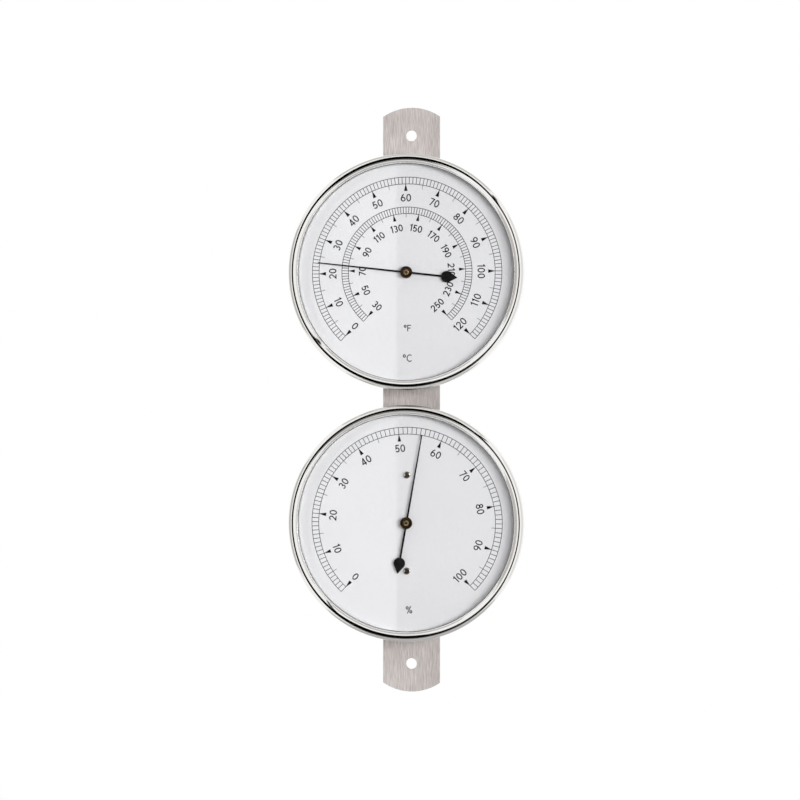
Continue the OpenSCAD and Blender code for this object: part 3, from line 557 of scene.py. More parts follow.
def arc(cx: float, cy: float, rx: float, ry: float, start: float, end: float, steps: int) -> list[Pair]:
    """Finds points along an arc of an ellipse.

    Args:
        cx: Centre, across.
        cy: Centre, up.
        rx: Half width.
        ry: Half height.
        start: First angle in degrees.
        end: Last angle in degrees.
        steps: Number of parts.

    Returns:
        The points, both ends included.
    """
    angles = [radians(start + (end - start) * i / steps) for i in range(steps + 1)]
    return [(cx + rx * cos(a), cy + ry * sin(a)) for a in angles]


def rounded(corners: list[Triple], steps: int = 4) -> list[Pair]:
    """Rounds the corners of a closed outline.

    Args:
        corners: Place and radius of each corner.
        steps: Parts of each arc.

    Returns:
        The outline's points.
    """
    points: list[Pair] = []
    count = len(corners)
    for i, (x, y, r) in enumerate(corners):
        if r == 0:
            points.append((x, y))
            continue
        here = Vector((x, y))
        before = (Vector(corners[i - 1][:2]) - here).normalized()
        after = (Vector(corners[(i + 1) % count][:2]) - here).normalized()
        half = before.angle(after) / 2
        middle = here + (before + after).normalized() * (r / sin(half))
        first = here + before * (r / tan(half)) - middle
        sweep = first.angle_signed(here + after * (r / tan(half)) - middle)
        start = atan2(first.y, first.x)
        for k in range(steps + 1):
            a = start - sweep * k / steps
            points.append((middle.x + r * cos(a), middle.y + r * sin(a)))
    return points


def spun(name: str, section: list[Pair], centre_z: float, segments: int = 384) -> Mesh:
    """Spins a closed section about a gauge's axis.

    Args:
        name: Name of the mesh.
        section: Radius and depth of each point, in mm.
        centre_z: Height of the axis, in mm.
        segments: Number of parts round the axis.

    Returns:
        The closed ring, with its faces outwards.
    """
    count = len(section)
    turns = [(cos(2 * pi * k / segments), sin(2 * pi * k / segments)) for k in range(segments)]
    points = [(r * c * MM, -d * MM, (centre_z + r * s) * MM) for c, s in turns for r, d in section]
    faces = []
    for k in range(segments):
        a, b = k * count, (k + 1) % segments * count
        for i in range(count):
            j = (i + 1) % count
            faces.append((a + i, b + i, b + j, a + j))
    mesh = faces_out(mesh_of(name, points, faces), weld=1e-8)
    smooth(mesh)
    return mesh


def broken_edges(
    node: str, piece: str, width_mm: float, finish: Finish, body: str, flat: float = 0.4, sharp: float = 35.0
) -> Object:
    """Copies a solid, breaks its sharp edges and lets the copy stand for it.

    Args:
        node: Name of the CAD node.
        piece: Name of the new piece.
        width_mm: Width of the broken edge.
        finish: Finish of the piece.
        body: Name of the moving body.
        flat: Angle in degrees under which faces count as one.
        sharp: Angle in degrees from which an edge is broken.

    Returns:
        The new object.
    """
    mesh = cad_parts[node].data.copy()
    for layer in ("custom_normal", "sharp_edge", "sharp_face"):
        if layer in mesh.attributes:
            mesh.attributes.remove(mesh.attributes[layer])
    work = bmesh.new()
    work.from_mesh(mesh)
    bmesh.ops.remove_doubles(work, verts=work.verts, dist=1e-6)
    bmesh.ops.dissolve_limit(work, angle_limit=radians(flat), verts=work.verts, edges=work.edges)
    work.to_mesh(mesh)
    work.free()
    obj = placed(piece + "_work", mesh)
    bevel = obj.modifiers.new("edge", "BEVEL")
    bevel.width = width_mm * MM
    bevel.segments = 3
    bevel.limit_method = "ANGLE"
    bevel.angle_limit = radians(sharp)
    bevel.miter_outer = "MITER_ARC"
    weights = obj.modifiers.new("flats", "WEIGHTED_NORMAL")
    weights.keep_sharp = True
    mesh.shade_smooth()
    new = piece_from(piece, baked(obj), finish, body)
    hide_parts(node)
    return new


# Print of the dials


@dataclass(frozen=True)
class Span:
    """Part of a scale on which equal steps have equal angles.

    Attributes:
        first: Value at its start.
        last: Value at its end.
        angle: Dial angle of the first value.
        step: Degrees that one unit takes, clockwise.
    """

    first: float
    last: float
    angle: float
    step: float

    def at(self, value: float) -> float:
        """Finds the dial angle of a value.

        Args:
            value: Value on the scale.

        Returns:
            Its angle in degrees.
        """
        return self.angle - (value - self.first) * self.step


@dataclass(frozen=True)
class Rows:
    """Radii of one ring of a printed scale, in mm.

    Attributes:
        inner: Inner circle.
        outer: Outer circle.
        pale_end: Where the pale ticks end, inside the inner circle.
        wedge_base: Base of the black wedges.
        wedge_tip: Tip of the black wedges.
        wedge_w: Width of a wedge's base.
        labels: Middle of the numbers.
        height: Height of the numbers.
    """

    inner: float
    outer: float
    pale_end: float
    wedge_base: float
    wedge_tip: float
    wedge_w: float
    labels: float
    height: float


@dataclass(frozen=True)
class Scale:
    """A printed scale: its law, its rings, its ticks and its numbers.

    Attributes:
        name: Name that its pieces start with.
        spans: The law, from the lowest to the highest value.
        rows: Its radii.
        fine: Distance between fine ticks.
        pale: First value and distance of the pale ticks.
        bold: First value and distance of the wedges and numbers.
        flipped: Numbers whose tops point inwards.
    """

    name: str
    spans: tuple[Span, ...]
    rows: Rows
    fine: float
    pale: Pair
    bold: Pair
    flipped: tuple[int, ...]

    def at(self, value: float) -> float:
        """Finds the dial angle of a value.

        Args:
            value: Value on the scale.

        Returns:
            Its angle in degrees.
        """
        span = next((s for s in self.spans if value <= s.last), self.spans[-1])
        return span.at(value)

    def runs(self, first: float, step: float) -> list[tuple[float, float, int]]:
        """Splits a row of ticks where the law changes.

        Args:
            first: Value of the first tick.
            step: Distance between ticks.

        Returns:
            For each part, the angle of its first tick, the angle between ticks and their number.
        """
        rows = []
        value = first
        for span in self.spans:
            count = 0
            start = value
            while value <= span.last + NEARLY:
                count += 1
                value += step
            if count:
                rows.append((span.at(start), -span.step * step, count))
        return rows


def glyphs() -> dict[str, tuple[float, list[Stroke]]]:
    """Draws the figures and marks of the dials as strokes, one unit high.

    Returns:
        For each sign its width and its strokes.
    """

    def loop(cx: float, cy: float, rx: float, ry: float, steps: int) -> Stroke:
        """Returns a closed oval from its centre, half width, half height and number of parts."""
        return arc(cx, cy, rx, ry, 0, 360, steps)[:-1], True

    def line(*points: Pair) -> Stroke:
        """Returns an open stroke through points."""
        return list(points), False

    stem = [(0.08, 0.32), (0.085, 0.42), (0.11, 0.53), (0.16, 0.65), (0.23, 0.77)]
    six = [loop(0.35, 0.32, 0.27, 0.245, 28), line(*stem, (0.33, 0.88), (0.45, 0.965))]
    nine = [([(0.70 - x, 1.0 - y) for x, y in path], closed) for path, closed in six]
    neck = arc(0.33, 0.675, 0.25, 0.25, 165, -38, 14)
    upper_bow = arc(0.29, 0.71, 0.215, 0.215, 148, -92, 16)
    lower_bow = arc(0.28, 0.29, 0.245, 0.215, 92, -148, 16)
    belly = arc(0.31, 0.33, 0.255, 0.255, 118, -148, 16)
    zeros = [loop(0.21, 0.76, 0.15, 0.17, 20), loop(0.77, 0.22, 0.15, 0.17, 20)]
    return {
        "0": (0.70, [loop(0.35, 0.5, 0.27, 0.425, 32)]),
        "1": (0.42, [line((0.05, 0.79), (0.29, 0.95), (0.29, 0.0))]),
        "2": (0.66, [line(*neck, (0.08, 0.075), (0.64, 0.075))]),
        "3": (0.62, [line(*upper_bow), line(*lower_bow)]),
        "4": (0.70, [line((0.50, 0.96), (0.07, 0.27), (0.69, 0.27)), line((0.50, 1.0), (0.50, 0.0))]),
        "5": (0.64, [line((0.57, 0.925), (0.17, 0.925), (0.12, 0.51), *belly)]),
        "6": (0.68, six),
        "7": (0.62, [line((0.03, 0.925), (0.57, 0.925), (0.20, 0.0))]),
        "8": (0.66, [loop(0.33, 0.72, 0.205, 0.205, 24), loop(0.33, 0.285, 0.255, 0.21, 28)]),
        "9": (0.70, nine),
        "C": (0.86, [line(*arc(0.46, 0.5, 0.40, 0.43, 48, 312, 24))]),
        "F": (0.66, [line((0.08, 0.0), (0.08, 0.925), (0.66, 0.925)), line((0.08, 0.5), (0.56, 0.5))]),
        "o": (0.44, [loop(0.22, 0.78, 0.16, 0.16, 20)]),
        "%": (0.96, [*zeros, line((0.74, 1.0), (0.24, 0.0))]),
    }


@dataclass
class Printer:
    """Lays strokes on a dial as thin slabs of ink.

    Attributes:
        centre_z: Height of the dial's centre, in mm.
        layer: How much higher the next stroke is laid, in mm, so that two that cross share no face.
        layers: Number of such heights, after which they start again.
        mitre: Least cosine at a corner, which keeps its point short.
        points: Points laid so far, in metres.
        faces: Faces laid so far.
        laid: Number of strokes laid so far.
    """

    centre_z: float
    layer: float = 0.002
    layers: int = 4
    mitre: float = 0.35
    points: list[Triple] = field(default_factory=list)
    faces: list[tuple[int, ...]] = field(default_factory=list)
    laid: int = 0

    def stroke(self, path: list[Pair], closed: bool, width: float) -> None:
        """Lays one stroke.

        Args:
            path: Its middle line, in mm from the dial's centre.
            closed: True for a ring.
            width: Its width in mm.
        """
        count = len(path)
        top = DIAL_FACE + INK_HEIGHT + self.layer * (self.laid % self.layers)
        self.laid += 1
        base = len(self.points)
        for i, spot in enumerate(path):
            here = Vector(spot)
            ways = []
            if closed or i > 0:
                ways.append((here - Vector(path[i - 1])).normalized())
            if closed or i < count - 1:
                ways.append((Vector(path[(i + 1) % count]) - here).normalized())
            along = sum(ways, Vector((0, 0))).normalized()
            side = Vector((-along.y, along.x))
            reach = width / 2 / max(self.mitre, side.dot(Vector((-ways[0].y, ways[0].x))))
            for s in (1, -1):
                edge = here + side * (s * reach)
                for depth in (top, DIAL_FACE - INK_SUNK):
                    self.points.append((edge.x * MM, -depth * MM, (self.centre_z + edge.y) * MM))
        # Four points at each station: left top, left base, right top, right base
        for i in range(count if closed else count - 1):
            a, b = base + 4 * i, base + 4 * ((i + 1) % count)
            self.faces += [
                (a, a + 2, b + 2, b),
                (a + 1, b + 1, b + 3, a + 3),
                (a, b, b + 1, a + 1),
                (a + 2, a + 3, b + 3, b + 2),
            ]
        if not closed:
            end = base + 4 * (count - 1)
            self.faces += [(base, base + 1, base + 3, base + 2), (end, end + 2, end + 3, end + 1)]

    def word(self, text: str, middle: Pair, up: float, height: float, weight: float) -> None:
        """Lays a number or a mark.

        Args:
            text: Its signs.
            middle: Place of its middle, in mm from the dial's centre.
            up: Direction of its tops, in degrees.
            height: Height of its figures in mm.
            weight: Width of its strokes in mm.
        """
        signs = glyphs()
        gap, narrow = 0.13, 0.9
        total = sum(signs[c][0] for c in text) + gap * (len(text) - 1)
        rise = Vector((cos(radians(up)), sin(radians(up))))
        run = Vector((rise.y, -rise.x))
        pen = -total / 2
        for c in text:
            wide, strokes = signs[c]
            for path, closed in strokes:
                spots = []
                for x, y in path:
                    spot = Vector(middle) + run * ((pen + x) * height * narrow) + rise * ((y - 0.5) * height)
                    spots.append((spot.x, spot.y))
                self.stroke(spots, closed, weight)
            pen += wide + gap

    def piece(self, name: str, finish: Finish) -> None:
        """Leaves all that was laid on the dial as one piece.

        Args:
            name: Name of the piece.
            finish: Its ink.
        """
        piece_from(name, faces_out(mesh_of(name, self.points, self.faces)), finish, "stand")


@dataclass(frozen=True)
class MarkTree:
    """Geometry Nodes tree for the ticks of a scale, straight or tapered.

    Attributes:
        name: Name of the tree.
        floats: Named sizes that it takes, in metres or radians.
    """

    name: str = "dial_ticks"
    floats: tuple[str, ...] = (
        "First Angle",
        "Step Angle",
        "Inner Radius",
        "Outer Radius",
        "Inner Width",
        "Outer Width",
        "Back Depth",
        "Front Depth",
        "Centre Height",
    )

    def build(self) -> Tree:
        """Makes the tree once and gives the same one again after that.

        Returns:
            The tree.
        """
        known = bpy.data.node_groups.get(self.name)
        if known is not None:
            return known
        tree = bpy.data.node_groups.new(self.name, "GeometryNodeTree")
        tree.interface.new_socket(name="Geometry", in_out="OUTPUT", socket_type="NodeSocketGeometry")
        kinds = {"Count": "Int", **dict.fromkeys(self.floats, "Float"), "Material": "Material"}
        for label, kind in kinds.items():
            tree.interface.new_socket(name=label, in_out="INPUT", socket_type="NodeSocket" + kind)
        given = add_node(tree, "NodeGroupInput").outputs
        block = add_node(tree, "GeometryNodeMeshCube").outputs["Mesh"]
        place = add_node(tree, "GeometryNodeInputPosition").outputs[0]
        across, along, up = add_node(tree, "ShaderNodeSeparateXYZ", Vector=place).outputs

        def between(share: Socket, low: str, high: str) -> Socket:
            """Returns the value between two inputs for a place from -0.5 to 0.5."""
            ends = {"From_Min": -0.5, "From_Max": 0.5, "To_Min": given[low], "To_Max": given[high]}
            return add_node(tree, "ShaderNodeMapRange", Value=share, **ends).outputs[0]

        # A block of one metre is shaped into a tick that points to the right
        wide = reckon(tree, "MULTIPLY", across, between(along, "Inner Width", "Outer Width"))
        low = reckon(tree, "MULTIPLY", wide, -1.0)
        depth = reckon(tree, "MULTIPLY", between(up, "Back Depth", "Front Depth"), -1.0)
        radius = between(along, "Inner Radius", "Outer Radius")
        shaped = add_node(tree, "ShaderNodeCombineXYZ", X=radius, Y=depth, Z=low).outputs[0]
        slab = add_node(tree, "GeometryNodeSetPosition", Geometry=block, Position=shaped).outputs[0]
        # It is set on points that all lie on the axis, and each is turned a step further
        still = (0.0, 0.0, 0.0)
        spots = add_node(tree, "GeometryNodeMeshLine", Count=given["Count"], Offset=still).outputs[0]
        index = add_node(tree, "GeometryNodeInputIndex").outputs[0]
        angle = reckon(tree, "MULTIPLY_ADD", index, given["Step Angle"], given["First Angle"])
        turn = add_node(tree, "ShaderNodeCombineXYZ", Y=reckon(tree, "MULTIPLY", angle, -1.0)).outputs[0]
        ring = add_node(tree, "GeometryNodeInstanceOnPoints", Points=spots, Instance=slab, Rotation=turn)
        height = add_node(tree, "ShaderNodeCombineXYZ", Z=given["Centre Height"]).outputs[0]
        moved = add_node(tree, "GeometryNodeTransform", Geometry=ring.outputs[0], Translation=height)
        real = add_node(tree, "GeometryNodeRealizeInstances", Geometry=moved.outputs[0]).outputs[0]
        dressed = add_node(tree, "GeometryNodeSetMaterial", Geometry=real, Material=given["Material"])
        add_node(tree, "NodeGroupOutput", in_0=dressed.outputs[0])
        return tree

    def piece(self, name: str, values: dict[str, object]) -> None:
        """Runs the tree and keeps its result as a plain piece of the dial.

        Args:
            name: Name of the piece.
            values: Value of each named input.
        """
        work = placed(name + "_work", bpy.data.meshes.new(name + "_work"))
        modifier = work.modifiers.new("marks", "NODES")
        modifier.node_group = self.build()
        for item in modifier.node_group.interface.items_tree:
            if item.in_out == "INPUT":
                modifier[item.identifier] = values[item.name]
        piece_from(name, baked(work), None, "stand")


@dataclass
class DialPrint:
    """Print of one dial: its scales, their numbers and the marks of their units.

    Attributes:
        gauge: The gauge.
        scales: Its scales.
        marks: Unit marks: signs, place of the middle and height, in mm from the dial's centre.
        line_w: Width of circles and fine ticks, in mm.
        stem_w: Width of pale ticks, wedge tips and wedge stems, in mm.
        weight: Width of a number's strokes, in mm.
        unit_weight: Weight of the unit marks beside the numbers'.
        trees: Maker of the ticks.
    """

    gauge: Gauge
    scales: tuple[Scale, ...]
    marks: tuple[tuple[str, Pair, float], ...]
    line_w: float = 0.26
    stem_w: float = 0.3
    weight: float = 0.48
    unit_weight: float = 0.85
    trees: MarkTree = field(default_factory=MarkTree)

    def row(self, name: str, scale: Scale, ticks: Pair, radii: Pair, widths: Pair, finish: Finish) -> None:
        """Prints one row of ticks.

        Args:
            name: End of the piece's name.
            scale: Scale that the row belongs to.
            ticks: First value and distance between ticks.
            radii: Inner and outer end of a tick.
            widths: Width at each end.
            finish: Its ink.
        """
        sizes = {
            "Inner Radius": radii[0],
            "Outer Radius": radii[1],
            "Inner Width": widths[0],
            "Outer Width": widths[1],
            "Back Depth": DIAL_FACE - INK_SUNK,
            "Front Depth": DIAL_FACE + INK_HEIGHT,
            "Centre Height": self.gauge.axis,
        }
        for i, (angle, step, count) in enumerate(scale.runs(*ticks)):
            values = {label: size * MM for label, size in sizes.items()}
            values |= {"Count": count, "First Angle": radians(angle), "Step Angle": radians(step)}
            values["Material"] = finish.build()
            self.trees.piece(f"{scale.name}_{name}_{i + 1}", values)

    def numbers(self, scale: Scale) -> None:
        """Prints the circles and the numbers of a scale.

        Args:
            scale: The scale.
        """
        rows = scale.rows
        first, last = scale.spans[0].first, scale.spans[-1].last
        lines = Printer(self.gauge.axis)
        for radius in (rows.inner, rows.outer):
            circle = arc(0, 0, radius, radius, scale.at(first), scale.at(last), 240)
            lines.stroke(circle, False, self.line_w)
        lines.piece(f"{scale.name}_circles", LINE_INK)
        figures = Printer(self.gauge.axis)
        value, step = scale.bold
        while value <= last + NEARLY:
            angle = scale.at(value)
            tops = Tops.INWARDS if int(value) in scale.flipped else Tops.OUTWARDS
            middle = (rows.labels * cos(radians(angle)), rows.labels * sin(radians(angle)))
            figures.word(str(int(value)), middle, angle + tops.value, rows.height, self.weight)
            value += step
        figures.piece(f"{scale.name}_numbers", BLACK_INK)

    def build(self) -> None:
        """Prints the whole dial."""
        line, stem = (self.line_w, self.line_w), (self.stem_w, self.stem_w)
        for scale in self.scales:
            rows = scale.rows
            fine = (scale.spans[0].first, scale.fine)
            wedge = (rows.wedge_w, self.stem_w)
            self.row("ticks", scale, fine, (rows.inner, rows.outer), line, LINE_INK)
            self.row("pale_ticks", scale, scale.pale, (rows.pale_end, rows.inner), stem, PALE_INK)
            self.row("wedges", scale, scale.bold, (rows.wedge_base, rows.wedge_tip), wedge, BLACK_INK)
            self.row("wedge_stems", scale, scale.bold, (rows.wedge_tip, rows.inner), stem, BLACK_INK)
            self.numbers(scale)
        units = Printer(self.gauge.axis)
        for text, middle, height in self.marks:
            units.word(text, middle, 90, height, self.weight * self.unit_weight)
        units.piece(f"{self.gauge.value}_unit_marks", LINE_INK)


# The gauges and the strap


# Radius and depth of the dark film that paints the shade in an arbor's centre mark, in mm
CENTRE_MARK_SHADE_FILM = [(0.0, 22.66), (0.28, 22.67), (0.50, 22.71), (0.46, 22.66), (0.0, 22.42)]


@dataclass
class GaugeFront:
    """Front of a gauge: its bezel, a seal bead and a film in the arbor's centre mark, both dark as painted
    shade, and the pointer; lengths are in mm.

    Attributes:
        gauge: The gauge.
        pointer_body: Body that the pointer turns with.
        bezel_r: Outer radius of the bezel.
        sheet: Thickness of the bezel's sheet.
        roll_r: Radius of the rolled front.
        roll_depth: Depth of the roll's centre, at the front of the seal.
        crest_out: How far the crest stands outside the middle of the roll.
        lip: Radius of the broken edges of the roll's end, the lip.
        hollow_from: Angle at which the roll's hollow starts, as a multiple of the lip's.
        skirt_back: How far behind the roll's centre the straight outer wall starts.
        crimp_back: Depth of the back of the crimped edge.
        crimp_r: Inner radius of the crimped edge.
        crimp_edge: Radius of the crimped edge's own broken edges.
        bead_r: Radius of the dark rubber bead that the lip squeezes out of the seal; it also paints the
            shade line where the lip meets the glass.
        bead_out: How far the bead's centre stands outside the lip's edge.
        bead_back: How far it lies behind the roll's centre.
        needle_edge: Width of the pointer's broken edge.
    """

    gauge: Gauge
    pointer_body: str
    bezel_r: float = 51.0
    sheet: float = 0.6
    roll_r: float = 2.05
    roll_depth: float = 25.2
    crest_out: float = 0.35
    lip: float = 0.16
    hollow_from: float = 1.4
    skirt_back: float = 0.3
    crimp_back: float = 19.7
    crimp_r: float = 48.7
    crimp_edge: float = 0.12
    bead_r: float = 0.24
    bead_out: float = 0.05
    bead_back: float = 0.41
    needle_edge: float = 0.06

    def bezel_section(self) -> list[Pair]:
        """Draws the bezel's section as radius and depth, with its edges broken.

        Returns:
            The closed outline.
        """
        roll, depth, out = self.roll_r, self.roll_depth, self.crest_out
        middle, inner = self.bezel_r - roll, roll - self.sheet
        crest = middle + out
        tilt = degrees(asin(self.lip / roll))
        outer = arc(crest, depth, roll - out, roll, 0, 90, 24)
        outer += arc(crest, depth, roll + out, roll, 90, 180 - tilt, 24)[1:]
        hollow = arc(crest, depth, inner + out, inner, 180 - tilt * self.hollow_from, 90, 10)
        hollow += arc(crest, depth, inner - out, inner, 90, 0, 10)[1:]
        # The first and the last corner only say which way the roll and the hollow run
        lean, ahead = 0.995, (0.16, 0.2)
        lip_end = rounded(
            [
                (middle - roll * lean, depth + ahead[0], 0.0),
                (middle - roll, depth, self.lip),
                (middle - inner, depth, self.lip),
                (middle - inner * lean, depth + ahead[1], 0.0),
            ]
        )[1:-1]
        front, wall, start = self.crimp_back + self.sheet, self.bezel_r - self.sheet, depth - self.skirt_back
        skirt = rounded(
            [
                (wall, start, 0.0),
                (wall, front, 0.0),
                (self.crimp_r, front, self.crimp_edge),
                (self.crimp_r, self.crimp_back, self.crimp_edge),
                (self.bezel_r, self.crimp_back, self.sheet),
                (self.bezel_r, start, 0.0),
            ],
            steps=8,
        )
        return outer + lip_end + hollow + skirt

    def bezel(self) -> None:
        """Spins the bezel and lets it stand for its solid."""
        name = f"{self.gauge.value}_rolled_bezel"
        mesh = spun(name, self.bezel_section(), self.gauge.axis)
        ring = piece_from(name, mesh, BEZEL_STEEL.around(self.gauge.axis), "stand")
        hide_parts(f"{self.gauge.value}_bezel")

    def bead(self) -> None:
        """Lays the bead of seal that the lip squeezes out along the glass, dark rubber that also paints the
        shade line at the glass's edge.
        """
        name = f"{self.gauge.value}_seal_bead_shade_line"
        radius = self.bezel_r - 2 * self.roll_r + self.bead_out
        section = arc(radius, self.roll_depth - self.bead_back, self.bead_r, self.bead_r, 0, 180, 10)
        piece_from(name, spun(name, section, self.gauge.axis), RUBBER, "stand")

    def oil(self) -> None:
        """Lays a dark film in the centre mark of the arbor, as painted shade in the recess."""
        name = f"{self.gauge.value}_arbor_centre_mark_shade"
        piece_from(name, spun(name, CENTRE_MARK_SHADE_FILM, self.gauge.axis, segments=48), CENTRE_MARK_SHADE, self.pointer_body)

    def pointer(self) -> None:
        """Gives the pointer its broken edges."""
        node = f"{self.gauge.value}_pointer"
        needle = broken_edges(node, node + "_needle", self.needle_edge, LACQUER, self.pointer_body)

    def build(self) -> None:
        """Makes the pieces."""
        self.bezel()
        self.bead()
        self.oil()
        self.pointer()


@dataclass
class Dressing:
    """Finish of every solid that keeps its mesh.

    Attributes:
        finishes: Finish for the end of a node's name; the longest end that fits wins.
    """

    finishes: dict[str, Finish] = field(
        default_factory=lambda: {
            "dial_screws": PLATED_STEEL,
            "cock_screws": PLATED_STEEL,
            "case_rivets": PLATED_STEEL,
            "lever_clip": SPRING_STEEL,
            "adjuster_clip": SPRING_STEEL,
            "hairspring": SPRING_STEEL,
            "arbor": ARBOR_STEEL,
            "lever_stud": ARBOR_STEEL,
            "pointer_hub": DARK_BRASS,
            "bimetal_spiral": BIMETAL,
            "dial": ENAMEL,
            "spacer_ring": SPACER,
            "glass_seal": RUBBER,
            "glass": GLASS,
            "hair": HAIR,
            "strap": STRAP_STEEL,
            "pointer": LACQUER,
        }
    )

    def finish_of(self, node: str) -> Finish:
        """Finds the finish of a node.

        Args:
            node: Name of the node.

        Returns:
            Its finish; what the list doesn't name is brass.
        """
        if node.endswith("_case"):
            return CASE_STEEL.around(Gauge(node.removesuffix("_case")).axis)
        ends = [end for end in self.finishes if node.endswith("_" + end)]
        return self.finishes[max(ends, key=len)] if ends else BRASS

    def build(self) -> None:
        """Dresses every node."""
        for name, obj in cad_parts.items():
            finish = self.finish_of(name)
            for slot in obj.material_slots:
                slot.material = finish.build()
            LOG.info("%s: %s", name, finish.name)


@dataclass
class Hardware:
    """Strap and dial screws, with their edges broken as a tumbler leaves them; lengths are in mm.

    Attributes:
        strap_edge: Width of the strap's broken edge.
        head_r: Radius of a dial screw's head.
        head_h: Height of its head.
        dome_h: Height of the faint dome on the head.
        shoulder: Radius of the head's rounded edge.
        draft: How much narrower the head is at the dial.
        shank_r: Radius of its shank.
        shank_back: Depth of the shank's end.
        chamfer: Width of the bevel at that end.
        slot_w: Width of the driver's slot.
        slot_angle: Dial angle of the slot.
        cutter: Half length of the slot's cutter, as a multiple of head_r, and its rise above the head.
        pitch: Distance between the two screws.
    """

    strap_edge: float = 0.18
    head_r: float = 1.6
    head_h: float = 1.1
    dome_h: float = 0.06
    shoulder: float = 0.42
    draft: float = 0.01
    shank_r: float = 0.75
    shank_back: float = 14.6
    chamfer: float = 0.3
    slot_w: float = 0.5
    slot_angle: float = 40.0
    cutter: Pair = (1.2, 1.0)
    pitch: float = 41.6

    def blank(self, centre_z: float) -> Mesh:
        """Turns a screw without its slot.

        Args:
            centre_z: Height of the screw's axis.

        Returns:
            The closed mesh.
        """
        top = DIAL_FACE + self.head_h
        flat, corner = self.head_r - self.shoulder, self.shoulder
        ball = (flat**2 + self.dome_h**2) / (2 * self.dome_h)
        edge = degrees(asin(flat / ball))
        section = arc(0.0, top - ball, ball, ball, 90, 90 - edge, 6)
        section += arc(flat, top - self.dome_h - corner, corner, corner, 90 - edge, 0, 8)
        section += [
            (self.head_r - self.draft, DIAL_FACE),
            (self.shank_r, DIAL_FACE),
            (self.shank_r, self.shank_back + self.chamfer),
            (self.shank_r - self.chamfer, self.shank_back),
            (0.0, self.shank_back),
        ]
        return spun("screw_work", section, centre_z, segments=96)

    def screw(self, centre_z: float) -> Mesh:
        """Turns a screw with a round shoulder and mills its slot.

        Args:
            centre_z: Height of the screw's axis.

        Returns:
            The finished mesh.
        """
        head = placed("screw_work", self.blank(centre_z))
        long, high = self.head_r * self.cutter[0], self.slot_w / 2
        turn = radians(self.slot_angle)
        corners = []
        for depth in (DIAL_FACE + self.head_h / 2, DIAL_FACE + self.head_h + self.cutter[1]):
            for a, b in SQUARE:
                u, v = a * long, b * high
                x, z = u * cos(turn) - v * sin(turn), u * sin(turn) + v * cos(turn)
                corners.append((x * MM, -depth * MM, (centre_z + z) * MM))
        sides = [(k, k + 4, (k + 1) % 4 + 4, (k + 1) % 4) for k in range(4)]
        block = mesh_of("slot_work", corners, [(0, 1, 2, 3), (7, 6, 5, 4), *sides])
        cutter = placed("slot_work", faces_out(block))
        cut = head.modifiers.new("slot", "BOOLEAN")
        cut.operation = "DIFFERENCE"
        cut.object = cutter
        mesh = baked(head)
        bpy.data.objects.remove(cutter)
        smooth(mesh)
        return mesh

    def build(self) -> None:
        """Makes the pieces."""
        strap = broken_edges("hanging_strap", "ground_strap", self.strap_edge, STRAP_STEEL, "stand")
        work = bmesh.new()
        for side in (-0.5, 0.5):
            work.from_mesh(self.screw(Gauge.HYGROMETER.axis + side * self.pitch))
        mesh = bpy.data.meshes.new("hygrometer_slotted_screws")
        work.to_mesh(mesh)
        work.free()
        smooth(mesh)
        screws = piece_from("hygrometer_slotted_screws", mesh, NICKEL, "stand")
        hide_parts("hygrometer_dial_screws")


# Studio


@dataclass(frozen=True)
class Card:
    """A card or wall of the studio that only reflections see.

    Attributes:
        name: Its name.
        middle: Its middle, in metres.
        size: Its width and height, in metres.
        tone: Its colour as six hex digits.
        square: True for a card that stands square to the room, behind the camera.
        roll: Turn of the card in its own plane, in degrees.
    """

    name: str
    middle: Triple
    size: Pair
    tone: str
    square: bool = False
    roll: float = 0.0

    def build(self, target: Vector) -> None:
        """Hangs the card so that it faces the object or the room.

        Args:
            target: Point that it faces.
        """
        half_w, half_h = self.size[0] / 2, self.size[1] / 2
        mesh = mesh_of(self.name, [(x * half_w, y * half_h, 0) for x, y in SQUARE], [(0, 1, 2, 3)])
        card = placed(self.name, mesh)
        card.location = self.middle
        way = Vector((0, 1, 0)) if self.square else target - Vector(self.middle)
        turned = way.to_track_quat("Z", "Y") @ Quaternion((0.0, 0.0, 1.0), radians(self.roll))
        card.rotation_euler = turned.to_euler()
        material = bpy.data.materials.new(self.name)
        material.use_nodes = True
        material.node_tree.nodes.clear()
        glow = add_node(material.node_tree, "ShaderNodeEmission", Color=linear(self.tone), Strength=1.0)
        add_node(material.node_tree, "ShaderNodeOutputMaterial", Surface=glow.outputs[0])
        mesh.materials.append(material)
        hide(card, "camera", "diffuse", "shadow", "volume_scatter")


@dataclass(frozen=True)
class Lamp:
    """A lamp for the object; the bezels mirror the room, not the lamp.

    Attributes:
        name: Its name.
        place: Its place, in metres.
        power: Its power, in watts.
        size: Width and height of a soft lamp that faces the object, in metres, or None for a bare bulb.
        bulb: Radius of a bare bulb, in metres.
    """

    name: str
    place: Triple
    power: float
    size: Pair | None = None
    bulb: float = 0.0008

    def build(self, target: Vector) -> None:
        """Hangs the lamp.

        Args:
            target: Point that a soft lamp faces.
        """
        data = bpy.data.lights.new(self.name, "AREA" if self.size else "POINT")
        data.energy = self.power
        lamp = placed(self.name, data)
        lamp.location = self.place
        hide(lamp, "glossy")
        if self.size:
            data.shape = "RECTANGLE"
            data.size, data.size_y = self.size
            lamp.rotation_euler = (target - Vector(self.place)).to_track_quat("-Z", "Y").to_euler()
        else:
            data.shadow_soft_size = self.bulb


